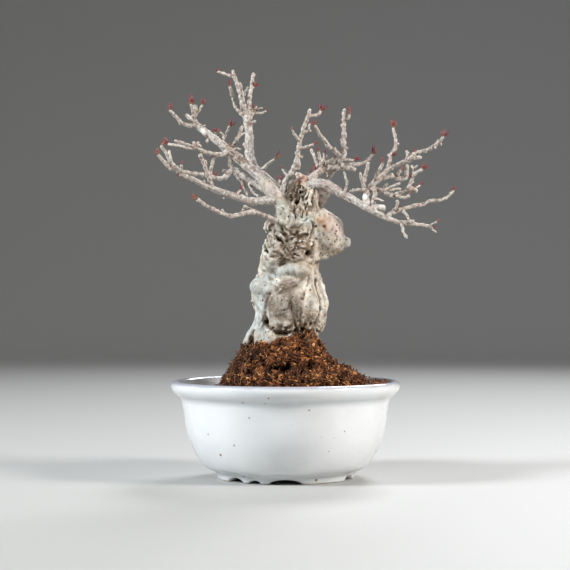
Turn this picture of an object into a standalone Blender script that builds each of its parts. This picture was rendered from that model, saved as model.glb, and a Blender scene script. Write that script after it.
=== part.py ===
"""Japanese winterberry bonsai in a round white glazed pot. Metres, +Z up, its front faces -Y.

The tables are in millimetres. A tree's route is written as it looks from the front: how far across
from the pot's axis and how far up from the table. Its depth is worked out, so that the limbs fan out
towards the viewer and away.
"""

import math

import bmesh
import bpy
from mathutils import Matrix, Vector, noise

MM = 0.001
GAP = 0.35                        # between two pieces that touch
ROUGH_GAP = 0.5                   # round an uneven skin
POT_AXIS_ACROSS = -10.9           # the right limbs reach further than the left ones
VIEW_UP = 100.8                   # the eye that the routes are seen by stands this high
VIEW_AWAY = 914.0                 # and this far in front of the pot's axis

POT_SEGMENTS = 38
POT_LIP_RADIUS = 60.1
POT_HEIGHT = 50.9
FOOT_RADIUS = 36.0
FLOOR_TOP = 8.0
FLOOR_BOTTOM = 3.4
DRAIN_RADIUS = 6.5
POT_OUTSIDE = (
    (FOOT_RADIUS, 0.0),
    (36.5, 2.6),
    (37.4, 3.9),
    (42.3, 6.2),
    (46.8, 12.0),
    (50.4, 19.6),
    (52.3, 27.1),
    (53.5, 35.5),
    (54.5, 40.6),
    (55.2, 42.1),
    (57.3, 43.8),
    (59.4, 46.3),
    (POT_LIP_RADIUS, 48.9),
    (59.3, 50.3),
    (57.8, POT_HEIGHT),
    (56.3, 50.3),
)
POT_INSIDE = (
    (54.9, 47.5),
    (51.0, 41.5),
    (49.2, 34.0),
    (47.6, 26.0),
    (45.4, 19.0),
    (41.0, 12.5),
    (34.0, FLOOR_TOP),
)
FOOT_INSIDE_RADIUS = 30.5
ARCH_REACH = 8.0                  # half of what an arch's cutter spans across the ring
# Each arch of the wavy foot: its middle in degrees from the front, half its angle, its height.
FOOT_ARCHES = (
    (-46, 9.0, 2.4),
    (-26, 6.0, 1.7),
    (0, 14.0, 2.4),
    (67, 9.0, 2.4),
    (97, 7.0, 1.8),
    (132, 11.0, 2.4),
    (168, 8.0, 2.0),
    (205, 13.0, 2.4),
    (240, 7.0, 1.7),
    (272, 10.0, 2.3),
)

NET_SIDE = 24.0
NET_THICK = 0.8
NET_CELLS = 3
NET_BAR_SHARE = 0.16              # half a bar's width, as a share of a cell
NET_ROOM_RADIUS = 18.0            # the soil stays off the net inside this radius

SOIL_LEVEL = 46.0                 # at the pot's axis
SOIL_RISE = 0.066                 # higher on the right, by this share of the way across
SOIL_BUMPS = 0.55
SOIL_EVEN = 43.0                  # out to this radius the soil is an even slope
SOIL_RINGS = (1.0, 0.965, 0.93, 0.89, 0.84, 0.79)  # one flat face covers what lies inside the last
MOUND_SEGMENTS = 38
# Rows of the mound: height, then how far it reaches right, back, left and to the front.
MOUND_ROWS = (
    (73.6, 9.0, 9.0, 9.0, 9.0),
    (73.0, 16.5, 15.5, 15.0, 15.5),
    (71.0, 18.5, 18.5, 19.0, 18.5),
    (68.0, 21.0, 21.5, 22.5, 21.5),
    (64.5, 23.2, 24.5, 26.2, 24.5),
    (61.0, 24.8, 27.5, 29.2, 27.0),
    (58.0, 29.0, 30.5, 31.2, 29.5),
    (56.0, 35.0, 34.0, 32.5, 33.0),
    (53.4, 40.5, 38.5, 34.2, 38.0),
    (51.6, 42.0, 40.2, 35.6, 40.2),
)
MOUND_FOOT = (43.2, 42.0, 37.5, 42.5)
MOUND_EDGE = 1.6                  # its height at the outer edge
MOUND_CLUMPS = 1.5

# The trunk's body: height, left and right edge, depth of its middle, half its depth.
TRUNK_RINGS = (
    (60.0, -12.0, 13.5, 0.0, 12.0),
    (70.0, -13.5, 15.5, 0.0, 13.0),
    (77.0, -13.5, 16.0, -0.5, 13.5),
    (81.5, -14.2, 18.0, -1.0, 14.5),
    (87.0, -15.4, 20.3, -1.0, 15.5),
    (92.5, -16.6, 21.4, -0.5, 16.0),
    (98.0, -16.0, 20.6, 0.0, 15.5),
    (103.0, -15.4, 18.6, 0.5, 14.5),
    (108.0, -14.0, 17.4, 0.5, 13.2),
    (113.0, -13.4, 17.8, 0.0, 13.0),
    (118.5, -12.7, 19.5, -0.5, 13.5),
    (124.0, -9.0, 20.5, -0.5, 13.5),
    (129.0, -7.8, 21.0, -0.5, 13.0),
    (134.0, -6.4, 20.0, -0.5, 12.0),
    (139.0, -4.8, 18.2, 0.0, 10.8),
    (143.5, -4.4, 16.8, 0.5, 9.5),
    (148.0, -3.2, 16.6, 0.5, 8.4),
    (152.0, 2.2, 15.8, 0.5, 7.4),
    (155.5, 5.6, 14.4, 0.5, 5.6),
    (158.0, 7.4, 12.6, 0.5, 3.4),
)
# Swellings of the trunk: across, up, depth, then the half sizes the same way.
TRUNK_LUMPS = (
    (-13.4, 99.8, -5.0, 5.5, 5.4, 6.0),
    (2.9, 90.6, -9.5, 11.3, 12.6, 9.0),
    (-1.5, 81.5, -10.5, 6.5, 4.5, 6.5),
    (12.5, 91.0, -8.0, 7.5, 13.0, 8.0),
    (8.5, 108.5, -8.0, 6.0, 5.5, 6.5),
    (-6.0, 113.0, -7.5, 6.8, 7.0, 6.5),
    (22.0, 128.0, -1.5, 9.4, 10.6, 10.0),
    (18.5, 133.5, -3.0, 8.5, 7.6, 9.0),
    (24.5, 121.5, -1.0, 6.6, 4.8, 6.6),
    (-8.2, 131.8, -4.5, 3.0, 3.9, 3.4),
    (-0.6, 138.6, -7.0, 5.0, 5.6, 5.0),
    (-4.0, 123.5, -8.5, 5.0, 7.5, 5.5),
    (12.6, 143.5, -6.0, 3.4, 7.5, 3.8),
    (19.4, 149.6, -3.5, 2.8, 2.6, 2.8),
    (11.8, 155.3, -4.5, 2.2, 2.1, 2.2),
    (4.0, 118.0, 10.0, 10.0, 9.0, 6.5),
    (-6.5, 95.0, 10.5, 8.5, 11.0, 7.0),
    (11.0, 90.0, 10.0, 9.0, 10.0, 7.5),
    (8.0, 134.0, 8.5, 8.0, 7.0, 6.0),
)
# Strands and surface roots: thick, thin, then across, up, depth of each point.
TRUNK_STRANDS = (
    (3.1, 2.9, ((15.2, 105.0, -8.0), (18.1, 98.0, -9.0), (19.3, 91.0, -8.5), (18.9, 84.0, -7.5),
                (16.6, 76.0, -7.5))),
    (3.6, 2.2, ((19.0, 117.0, -1.0), (26.0, 121.3, -1.5), (34.3, 124.0, -1.5))),
    (3.0, 2.3, ((27.0, 125.2, -1.5), (34.2, 123.7, -1.5))),
    (2.9, 2.1, ((-12.4, 88.0, -4.0), (-14.8, 81.0, -5.0), (-18.4, 75.0, -6.0), (-20.9, 69.8, -7.0),
                (-21.2, 64.0, -7.0))),
    (3.3, 2.5, ((-11.0, 86.0, -7.0), (-13.2, 78.0, -9.5), (-14.2, 71.0, -11.5), (-14.4, 64.0, -12.0))),
    (3.4, 2.4, ((-6.5, 81.0, -9.5), (-8.0, 75.0, -13.0), (-8.6, 67.0, -15.0))),
    (3.6, 2.6, ((11.0, 82.0, -9.0), (12.0, 75.0, -12.0), (12.6, 67.0, -13.5))),
    (3.4, 2.3, ((13.0, 82.0, 3.0), (15.0, 74.5, 6.0), (16.4, 66.0, 8.0))),
    (3.3, 2.3, ((6.5, 82.0, 12.0), (9.5, 74.0, 16.5), (11.0, 65.0, 18.0))),
    (3.4, 2.3, ((-6.0, 82.0, 12.0), (-9.0, 74.0, 16.5), (-10.5, 65.0, 18.5))),
    (3.3, 2.2, ((-12.0, 82.0, 4.0), (-16.5, 74.5, 7.0), (-18.5, 65.0, 9.0))),
    (1.7, 1.3, ((8.0, 130.2, -12.5), (1.0, 132.2, -13.8), (-5.5, 134.9, -13.0))),
    (1.2, 1.0, ((6.0, 132.0, -12.0), (9.5, 134.3, -14.0), (13.8, 137.6, -14.5))),
    (1.4, 1.3, ((16.0, 140.0, -6.5), (16.3, 148.0, -6.0), (15.4, 156.0, -3.0))),
    (2.0, 1.8, ((9.6, 157.0, -5.0), (4.6, 159.0, -6.5))),
    (2.6, 2.2, ((-11.0, 119.0, -6.0), (-8.0, 126.0, -9.5), (-2.0, 133.0, -11.0))),
    (2.2, 1.9, ((-3.0, 117.0, -12.0), (3.5, 121.5, -13.5), (9.0, 128.0, -12.5))),
    (3.4, 2.8, ((-1.0, 142.0, 7.0), (-4.5, 127.0, 10.5), (-8.5, 112.0, 11.5), (-9.5, 98.0, 14.5),
                (-8.0, 84.0, 13.5))),
    (3.6, 3.0, ((11.0, 148.0, 5.0), (14.5, 131.0, 10.5), (10.5, 114.0, 12.0), (13.5, 99.0, 14.0),
                (10.5, 84.0, 13.5))),
    (3.0, 2.6, ((4.0, 138.0, 9.5), (1.5, 120.0, 14.5), (4.5, 104.0, 14.0), (1.5, 91.0, 17.0),
                (3.0, 78.0, 14.0))),
    (2.8, 2.4, ((-11.5, 112.0, 3.0), (-15.8, 97.0, 5.0), (-13.5, 84.0, 5.5))),
)
TRUNK_SIDES = 28
TRUNK_VOXEL = 1.15
TRUNK_RIPPLE = 0.55
TRUNK_KEEP = 0.115                # share of the triangles that the decimation keeps

# A stem: lean, thick, thin, route. Lean is how much it goes back for each mm along, and a negative
# lean comes towards the viewer. The first stem of a limb starts at the limb's own depth, and each
# later one as deep as the stem that it springs from.
LEFT_UPPER = (
    (0.22, 4.6, 1.7, ((5, 141), (-2, 146), (-7, 152), (-12, 157), (-16, 160.5), (-20, 163.5),
                      (-25, 167.5), (-30, 171.5), (-36, 176.5), (-42, 181), (-47.5, 185.5))),
    (0.10, 1.5, 1.15, ((-46.5, 184.7), (-48.2, 188), (-47.9, 191), (-47.2, 195.2))),
    (-0.30, 0.9, 0.7, ((-48, 190), (-49.1, 193.5), (-49.6, 195.7))),
    (0.35, 0.95, 0.7, ((-47.9, 188.6), (-45.5, 192.3), (-43.4, 195.2))),
    (-0.20, 1.3, 1.05, ((-47, 185.1), (-49.4, 187.3), (-52.3, 190.3))),
    (-0.35, 1.15, 0.8, ((-46.3, 184.5), (-51, 184.5), (-54.5, 186), (-57.5, 189), (-60.9, 192.6))),
    (0.20, 0.8, 0.7, ((-55, 186.4), (-55.6, 184.7))),
    (0.20, 0.8, 0.6, ((-42.6, 181.5), (-43.6, 183.5), (-42, 184.6))),
    (-0.40, 0.85, 0.55, ((-39.8, 179.3), (-41.5, 175.3))),
    (0.30, 0.9, 0.75, ((-36.8, 177.1), (-36.7, 180.9))),
    (0.45, 0.95, 0.7, ((-34.3, 175.1), (-32, 178.5), (-30.5, 181.5), (-29.3, 184))),
    (-0.30, 0.65, 0.55, ((-31.9, 178.7), (-34.6, 181.3))),
    (-0.30, 1.4, 0.8, ((-29.5, 171.1), (-33, 169.3), (-37, 169.5), (-41.5, 170.3), (-46.5, 172.5),
                       (-52, 174.5), (-58.3, 176.6))),
    (0.35, 0.85, 0.7, ((-46, 172.3), (-52, 173), (-57, 174), (-61.5, 174.7))),
    (0.30, 0.95, 0.85, ((-44.7, 171.7), (-46, 175.9))),
    (-0.40, 0.9, 0.8, ((-47.2, 172.8), (-48.3, 176))),
    (-0.05, 1.5, 1.3, ((-29.5, 171), (-29.6, 167), (-28.6, 163), (-26.4, 159.6))),
    (-0.10, 1.3, 0.85, ((-26.9, 160.4), (-24.8, 157.4), (-22.6, 154.6), (-20.9, 150.4), (-19.2, 147.6))),
    (0.10, 1.1, 0.9, ((-27.6, 160.6), (-30.3, 160.4), (-33.3, 160.8))),
    (-0.24, 1.6, 1.5, ((-27, 161.2), (-22, 157.8), (-17.5, 154.5), (-12, 151.3), (-8, 150))),
    (-0.35, 0.95, 0.7, ((-18.4, 155.1), (-18.5, 152.6), (-17, 149.6), (-13.9, 147))),
    (-0.12, 1.35, 0.85, ((-28.2, 161.4), (-30.2, 158.6), (-33.5, 156.7), (-38, 157.2), (-44, 158.6),
                         (-52.5, 160), (-56.5, 161.8), (-60.5, 165.7), (-62.5, 170), (-65.4, 174))),
    (0.0, 0.95, 0.85, ((-37.4, 169.5), (-38, 166), (-39, 161.5), (-39.6, 157.6))),
    (0.50, 1.15, 0.9, ((-27.6, 169.6), (-27.9, 172.5), (-26, 176.5), (-24, 180.5), (-22.7, 184))),
    (0.35, 0.8, 0.6, ((-25.6, 177.4), (-23.2, 179.4), (-21.4, 180.6))),
    (-0.10, 0.8, 0.6, ((-27.7, 171.4), (-25.6, 172.5), (-22.9, 171.7))),
    (-0.55, 0.85, 0.6, ((-26, 168.3), (-23.6, 168.3), (-21.4, 166.6))),
    (0.10, 0.85, 0.7, ((-6.6, 151.6), (-4.1, 153.6), (-3.2, 156))),
    (0.0, 0.9, 0.7, ((-26.8, 169), (-29.3, 170.4), (-29.6, 173))),
)
LEFT_UPPER_BUDS = (
    (1.0, ((-49.5, 195.4), (-51, 198.2))), (1.2, ((-49.5, 195.4), (-49.8, 201.5))),
    (1.0, ((-49.5, 195.4), (-47.4, 198.8))), (1.1, ((-43.5, 195), (-41.9, 199.6))),
    (0.9, ((-43.5, 195), (-43.8, 198.8))), (1.1, ((-60.7, 192.3), (-60, 197.2))),
    (0.9, ((-36.7, 180.5), (-37.9, 183.8))), (0.9, ((-36.7, 180.5), (-35.6, 183.7))),
    (1.1, ((-29.4, 183.7), (-28, 188.2))), (0.9, ((-29.4, 183.7), (-25.8, 186.2))),
    (0.8, ((-34.3, 181), (-35.2, 183))), (0.9, ((-29.6, 172.6), (-29.6, 175.9))),
    (1.1, ((-61.2, 174.6), (-63.8, 178.3))), (0.9, ((-61.2, 174.6), (-65.1, 175.9))),
    (1.0, ((-65.2, 173.7), (-63.9, 177))), (0.9, ((-35.6, 156.9), (-37.4, 161))),
    (0.8, ((-3.3, 155.6), (-4.9, 158.2))), (0.8, ((-3.3, 155.6), (-1.2, 158.8))),
)
LEFT_LEADER = (
    (0.12, 2.9, 2.1, ((-14, 158), (-16.6, 162), (-18.4, 167), (-19, 172), (-19, 178), (-19.3, 183),
                      (-20.6, 189.4))),
    (0.20, 1.6, 0.9, ((-20.2, 187.5), (-21.5, 191), (-22.5, 195), (-23.5, 200), (-25, 205),
                      (-26.9, 210.6), (-27.8, 213.5))),
    (0.10, 0.8, 0.7, ((-26.6, 209.8), (-30.5, 211), (-35.3, 212.7))),
    (-0.32, 1.15, 1.0, ((-20.9, 189.6), (-22, 196), (-23.2, 202.6), (-24, 206.8))),
    (-0.15, 1.15, 0.8, ((-20.6, 188.4), (-24, 191.5), (-26.3, 194.5), (-27.4, 198.4), (-29.2, 205))),
    (0.28, 1.35, 0.9, ((-20.2, 187.4), (-19.5, 190.5), (-19, 195), (-18.8, 199), (-17.8, 205),
                       (-16.8, 212))),
    (0.0, 0.6, 0.5, ((-18.1, 203.4), (-16.2, 204.7))),
    (-0.30, 0.8, 0.6, ((-23.2, 199), (-21.4, 201.3), (-19.4, 204.8))),
    (0.50, 1.0, 0.7, ((-19.6, 185.6), (-18, 189.2), (-16.5, 191.5), (-15.3, 194.8))),
    (-0.20, 0.65, 0.55, ((-16.1, 192.2), (-13.7, 193.3), (-11.9, 193.6))),
    (0.40, 0.8, 0.6, ((-16.8, 191.1), (-13, 191), (-10, 192.1))),
    (-0.20, 0.6, 0.55, ((-17.6, 189.9), (-17.4, 193.2))),
    (-0.40, 1.0, 0.75, ((-19.2, 184.9), (-15.7, 186.9))),
    (0.10, 1.4, 1.15, ((-18.9, 171.2), (-21.9, 175.1))),
    (-0.30, 1.0, 0.7, ((-15.2, 160), (-11.5, 162), (-9.3, 164.3), (-5.5, 166.8))),
)
LEFT_LEADER_BUDS = (
    (1.1, ((-35, 212.6), (-36.8, 215))), (1.1, ((-29.1, 204.6), (-29.6, 209))),
    (0.9, ((-16.4, 204.5), (-16.3, 208.2))), (0.9, ((-16.4, 204.5), (-13.4, 207))),
    (0.8, ((-17.4, 192.9), (-16.4, 196.4))), (1.1, ((-5.8, 166.6), (-2, 171.2))),
    (0.8, ((-10.3, 192), (-8.4, 193.4))),
)
LEFT_LOWER = (
    (-0.34, 2.7, 0.9, ((4, 142), (-3, 144.5), (-8, 145), (-12, 145), (-17, 144.6), (-22, 145.8),
                       (-27, 147.5), (-32, 149), (-38, 151.2), (-42, 152.7), (-46, 155), (-53.5, 158.4),
                       (-57, 160.8), (-60, 162), (-63, 164.5), (-66.9, 169.3))),
    (-0.10, 1.2, 0.9, ((-38.4, 151.4), (-40, 156.5), (-41.5, 161), (-43.5, 166), (-45, 169.6))),
    (0.30, 0.75, 0.65, ((-41.6, 161.4), (-42, 166.4))),
    (0.30, 0.8, 0.6, ((-59.8, 162), (-60, 165.5), (-61, 171.6))),
    (-0.30, 0.75, 0.6, ((-54, 158.8), (-54.6, 161), (-54.5, 163.8))),
    (0.0, 0.85, 0.75, ((-31.6, 148.9), (-32.4, 145.9))),
    (0.0, 0.85, 0.75, ((-42.4, 153), (-43.1, 155.9))),
    (0.25, 0.75, 0.65, ((-27.2, 147.6), (-25, 149.3), (-23.3, 150.6))),
)
LEFT_LOWER_BUDS = (
    (1.1, ((-66.7, 169), (-67.6, 173))), (0.9, ((-66.7, 169), (-68.9, 170.9))),
    (0.9, ((-54.5, 163.4), (-54, 166.4))), (0.7, ((-53.9, 158.6), (-55.1, 155.9))),
    (0.7, ((-55.8, 160), (-57.3, 157.4))), (0.9, ((-23.5, 150.3), (-23.5, 153.9))),
)
LOWEST = (
    (-0.42, 1.35, 0.8, ((-3.4, 134.1), (-8, 136), (-13, 138), (-17.5, 140), (-22, 142.3))),
    (-0.45, 1.3, 0.85, ((-15, 139), (-20, 138.8), (-24, 137.8), (-28, 137), (-32, 137.8), (-36, 139.5),
                        (-40, 141.5), (-44, 144), (-46.5, 145.9))),
    (0.30, 0.8, 0.7, ((-32.4, 138), (-33.3, 140.7))),
    (0.30, 0.7, 0.6, ((-22, 138.4), (-22.3, 140.9))),
)
LOWEST_BUDS = (
    (1.1, ((-46.2, 145.7), (-48.2, 149.4))), (0.9, ((-46.2, 145.7), (-49.9, 147.2))),
)
CENTRE = (
    (-0.08, 1.5, 0.95, ((-0.6, 146), (-1.5, 149.5), (-1.2, 152), (0, 155.5), (3.4, 160), (5.6, 165),
                        (6.5, 170), (7.3, 175), (8.6, 180), (10.1, 185), (12.1, 190), (12.7, 193.2))),
    (0.30, 0.85, 0.7, ((11.7, 189.2), (15, 189.8), (17.5, 190.5), (18.6, 192.3))),
    (-0.40, 0.75, 0.6, ((7.6, 176.3), (5.2, 179), (3.3, 182.2))),
    (-0.35, 0.8, 0.65, ((6.9, 172.4), (10, 173), (15, 174.6))),
    (0.35, 0.75, 0.6, ((9, 181.4), (11.6, 181.6), (12.8, 185.4))),
    (0.0, 0.6, 0.5, ((11.8, 181.8), (13.6, 181.5))),
    (0.20, 0.8, 0.65, ((1.7, 157.7), (-1.8, 161.6))),
    (0.20, 0.85, 0.75, ((6.2, 168.2), (9, 168))),
    (-0.20, 0.75, 0.65, ((6.5, 170.4), (4.8, 170.3))),
    (0.15, 1.3, 1.3, ((6, 167), (6.8, 164), (6.4, 161.5))),
)
CENTRE_BUDS = (
    (1.1, ((18.4, 192), (18.7, 196.3))), (1.1, ((18.4, 192), (21.9, 195.2))),
    (0.9, ((3.5, 181.9), (2.9, 184.4))), (0.9, ((14.7, 174.5), (17.6, 176.3))),
    (0.8, ((12.7, 185.1), (13.2, 187.4))), (0.8, ((-1.5, 161.3), (-2.8, 164))),
)
CROWN = (
    (0.18, 2.5, 1.6, ((11.5, 152), (13.3, 156), (15.5, 158.5), (18, 160.5), (22, 162), (26, 162.3),
                      (30.2, 162.8))),
    (-0.30, 1.3, 1.1, ((29.5, 162.7), (33, 162), (37, 161.3))),
    (0.22, 1.3, 0.8, ((29.6, 162.8), (35, 163.8), (39, 164.3), (42.5, 166), (45.9, 169.3))),
    (0.30, 1.25, 0.95, ((25.8, 162.1), (24, 158.8), (22.6, 156.2))),
    (0.10, 0.95, 0.75, ((20.9, 161.5), (21.7, 157.2))),
    (0.06, 1.7, 1.0, ((29, 162.5), (29.3, 166), (30.7, 170.6), (30.5, 175), (30.7, 180), (30.5, 184.5),
                      (30.6, 189), (30.9, 193.2))),
    (0.0, 0.7, 0.6, ((30.5, 176.2), (28.6, 176.9))),
    (0.0, 0.7, 0.6, ((30.5, 184.1), (28.9, 184.9))),
    (-0.30, 0.7, 0.6, ((30.7, 172.2), (32.9, 172.7))),
    (-0.30, 0.8, 0.65, ((30.5, 187.9), (32.9, 188.2), (33.8, 190.3))),
    (-0.25, 1.3, 0.8, ((29.4, 167), (26, 171), (23, 173), (20.9, 176.2), (18.4, 179.2), (15.2, 184.7))),
    (0.0, 1.0, 0.9, ((26.2, 170.6), (25.7, 173))),
    (-0.30, 0.95, 0.7, ((29.6, 166.2), (32.8, 166.3), (36, 166))),
    (-0.25, 1.05, 0.8, ((17.9, 160.3), (18.7, 163.5), (18.3, 166.5), (17.2, 170.6))),
    (0.40, 0.95, 0.75, ((16.6, 159.3), (16.8, 163), (15.6, 166.7), (13.3, 172))),
    (0.10, 0.9, 0.75, ((19.5, 161), (20, 165), (20.4, 170))),
    (0.30, 0.6, 0.5, ((20.1, 163.9), (21.8, 166.4), (21.7, 169.1))),
    (-0.30, 0.95, 0.75, ((20, 162.4), (23, 165.5), (25.4, 167.4))),
    (0.16, 1.25, 1.15, ((23.8, 162), (26.6, 165.4), (29.2, 167.8))),
)
CROWN_BUDS = (
    (1.1, ((45.6, 169), (46.6, 174.3))), (0.9, ((45.6, 169), (48.5, 171.7))),
    (1.1, ((33.7, 190), (33.5, 195.2))), (0.9, ((15.4, 184.4), (15.7, 187.8))),
    (0.8, ((15.4, 184.4), (13.8, 186.1))), (0.9, ((35.7, 166), (38.1, 168.8))),
    (0.9, ((35.7, 166), (39.8, 167.2))), (0.9, ((17.3, 170.3), (17.2, 173.7))),
    (0.8, ((20.4, 169.6), (20.9, 172.3))), (0.8, ((25.1, 167.2), (26.9, 168.9))),
    (1.0, ((16, 158.8), (12.6, 161.6))), (1.1, ((16.8, 159.6), (14.4, 164.3))),
    (1.0, ((14.4, 157.3), (10.2, 159.2))), (0.7, ((13.4, 171.7), (12.6, 173.9))),
)
RIGHT_LOWER = (
    (-0.22, 3.5, 0.95, ((8, 149), (13, 153), (18, 154), (22, 153), (25, 151.2), (30, 148.4), (35, 145.8),
                        (40, 142.7), (45, 140), (50, 137.5), (54, 135.5), (58, 134.2), (62.5, 133.5),
                        (67.7, 134.3))),
    (0.25, 1.8, 1.6, ((44.8, 140.2), (47, 141.4), (52, 141))),
    (0.25, 1.0, 0.8, ((61.5, 133.6), (68, 132.7), (72, 132.3), (75.6, 131.5))),
    (-0.30, 0.6, 0.5, ((75, 131.6), (77.5, 133.2), (79.6, 134.1))),
    (0.20, 0.6, 0.5, ((75.2, 131.6), (77.2, 130.5))),
    (0.60, 0.6, 0.45, ((75, 131.6), (77, 129.9), (79.1, 128.4))),
    (-0.30, 0.85, 0.6, ((60, 133.9), (61.4, 131), (61.6, 128.8), (63.8, 125.2))),
    (0.12, 1.15, 0.75, ((53.2, 135.9), (54.8, 138), (60, 140.2), (68, 142.5), (72, 143), (75.5, 144.8),
                        (80, 145), (84, 146.5), (88.3, 150.4))),
    (-0.30, 0.95, 0.75, ((57, 138.9), (58.3, 142), (58.9, 143.8), (58.3, 145.4))),
    (-0.50, 0.85, 0.6, ((61.2, 140.5), (63.4, 137.6), (64.7, 135))),
    (-0.10, 0.75, 0.6, ((30.8, 148), (31.5, 151), (32.3, 154.6), (31.4, 157), (30.6, 160.4))),
)
RIGHT_LOWER_BUDS = (
    (0.8, ((76.9, 130.7), (79.5, 131.6))), (1.1, ((88.1, 150.1), (88.8, 154))),
    (0.8, ((58.1, 141.3), (60.9, 142.8))), (0.8, ((79.2, 134), (81.3, 135.2))),
)
RIGHT_UPPER = (
    (0.30, 2.2, 1.6, ((42.2, 141), (42.5, 143.4), (42.2, 147), (44, 150.6), (46, 153.6), (48.6, 156.6))),
    (0.30, 1.25, 1.15, ((45.8, 140.4), (46, 144), (46.6, 147), (46.9, 149.5), (45.4, 152.2))),
    (-0.50, 0.65, 0.5, ((46.2, 145.6), (48.5, 146), (51.6, 144.8))),
    (0.50, 0.95, 0.75, ((43.6, 150.2), (40, 150.8), (36, 150.2), (33.4, 149.8))),
    (-0.15, 1.15, 0.85, ((42.7, 148.6), (41.2, 151.8), (41.3, 156), (42.3, 160), (43.6, 165.4))),
    (-0.40, 0.85, 0.7, ((41.2, 152.6), (39.8, 156.5), (39, 159.9))),
    (-0.35, 1.1, 0.85, ((47.2, 155), (47.6, 157.6), (49, 161), (51.2, 164.6))),
    (0.20, 1.4, 1.15, ((48, 156.1), (50.5, 158.4), (54.2, 162))),
    (0.30, 1.15, 0.8, ((53.7, 161.6), (54.7, 166), (55.2, 168.9), (57, 171.7), (57.8, 174.5),
                       (57.6, 177.5), (56.3, 183.2))),
    (-0.20, 0.7, 0.6, ((57.7, 174.1), (59.7, 175.1))),
    (0.20, 0.75, 0.65, ((54.9, 168.3), (53.6, 169.4))),
    (-0.06, 1.25, 0.85, ((52, 160), (57, 163), (61, 165), (64.5, 166), (67, 169), (70, 170.5),
                         (74, 171.5), (79, 174.5), (83, 178.6))),
    (-0.30, 0.65, 0.55, ((77.8, 173.8), (78.9, 172.2))),
    (0.30, 0.65, 0.55, ((80.4, 175.7), (81.9, 174.2))),
    (0.35, 1.15, 1.0, ((63.2, 165.6), (64.3, 168.6), (63.3, 171.2))),
    (-0.45, 1.05, 0.9, ((64.6, 166.1), (68, 167.5), (71.4, 167.7))),
    (0.40, 1.35, 1.15, ((47.9, 155.7), (53, 157.5), (57.3, 158.5))),
    (0.15, 1.35, 1.15, ((56.6, 158.4), (60, 156.5), (63, 157.2), (63.5, 160), (63.8, 164.2))),
    (-0.30, 1.1, 1.0, ((57.4, 158), (60.7, 160.9))),
    (-0.15, 1.5, 1.3, ((45, 152), (47.5, 150.7), (52.4, 150))),
    (0.45, 0.95, 0.8, ((50.8, 150.2), (53.3, 154))),
    (-0.50, 0.95, 0.7, ((51.7, 150.1), (56, 152.5), (60.1, 154.1))),
    (0.55, 0.85, 0.6, ((51.8, 150), (57, 151), (60.6, 151.3))),
    (-0.12, 1.3, 0.8, ((51.2, 150.2), (55, 148), (58, 148.3), (61, 149.8), (64, 151.5), (66, 155.2),
                       (67.4, 159.5), (67.2, 162.7))),
    (0.40, 0.65, 0.55, ((67.4, 161.2), (65.9, 163.6))),
    (-0.40, 0.65, 0.55, ((67.3, 161.6), (69.4, 163.6))),
    (-0.30, 1.0, 0.8, ((66.8, 157.8), (69, 160), (72, 161.4))),
    (0.30, 1.15, 1.1, ((64, 151.6), (66.6, 151.2), (69, 149.7))),
    (0.60, 0.6, 0.5, ((67.2, 150.9), (70.6, 153.1))),
    (-0.35, 0.95, 0.75, ((57.7, 148.3), (60.5, 146.8), (63, 146.8), (65, 147.9))),
)
RIGHT_UPPER_BUDS = (
    (1.0, ((51, 164.3), (50.6, 168.5))), (1.1, ((56.4, 182.8), (55.6, 188))),
    (1.0, ((56.4, 182.8), (58, 187.1))), (1.3, ((55.1, 168.2), (58.3, 170.4))),
    (1.0, ((82.7, 178.2), (82.1, 182.4))), (1.0, ((82.7, 178.2), (84.3, 182.8))),
    (0.9, ((82.7, 178.2), (85.8, 181.2))), (0.9, ((67.1, 168.9), (68.3, 173.2))),
    (0.9, ((60.4, 160.6), (61.5, 163.4))), (1.0, ((66.4, 156.4), (64.8, 159.4))),
    (0.9, ((66.8, 157.6), (68.6, 160.8))), (1.1, ((71.7, 161.2), (73, 165.8))),
    (0.9, ((71.7, 161.2), (75.1, 163.7))), (0.8, ((67.4, 151), (68.5, 153.7))),
    (0.9, ((70.4, 152.9), (72.4, 155.1))), (0.7, ((64.7, 147.7), (65.8, 150.4))),
)
STALK = ((44.0, 44.0), (44.0, 53.0))  # a dry stalk left standing in the soil
STALK_DEPTH = -14.0
STALK_RADIUS = 0.45

TWIG_FAN = 1.5                    # twigs lean this many times as far as written
SWAY = 0.8                        # stems weave this far back and forth
SWAY_RUN = 4.5
TAPER = 1.3


def clear_scene():
    for obj in list(bpy.data.objects):
        bpy.data.objects.remove(obj, do_unlink=True)


def finish(name, colour, roughness):
    """A material in plain colour."""
    made = bpy.data.materials.new(name)
    made.use_nodes = True
    shader = made.node_tree.nodes["Principled BSDF"]
    shader.inputs["Base Color"].default_value = (*colour, 1.0)
    shader.inputs["Roughness"].default_value = roughness
    shader.inputs["Metallic"].default_value = 0.0
    return made


def object_of(name, bm):
    """Put a bmesh into a new object in the scene."""
    bmesh.ops.recalc_face_normals(bm, faces=bm.faces)
    mesh = bpy.data.meshes.new(name)
    bm.to_mesh(mesh)
    bm.free()
    obj = bpy.data.objects.new(name, mesh)
    bpy.context.scene.collection.objects.link(obj)
    return obj


def apply_modifiers(obj):
    """Make what the modifiers give the object's own mesh."""
    graph = bpy.context.evaluated_depsgraph_get()
    obj.data = bpy.data.meshes.new_from_object(obj.evaluated_get(graph))
    obj.modifiers.clear()


def remove(objects):
    for obj in objects:
        bpy.data.objects.remove(obj, do_unlink=True)


def fuse(obj, pieces):
    """Join the pieces to obj in one body, by one Boolean union on their collection."""
    group = bpy.data.collections.new(obj.name + "_pieces")
    bpy.context.scene.collection.children.link(group)
    for piece in pieces:
        group.objects.link(piece)
    union = obj.modifiers.new("fuse", "BOOLEAN")
    union.operation = "UNION"
    union.operand_type = "COLLECTION"
    union.collection = group
    union.solver = "EXACT"
    apply_modifiers(obj)
    remove(pieces)
    bpy.data.collections.remove(group)


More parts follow.
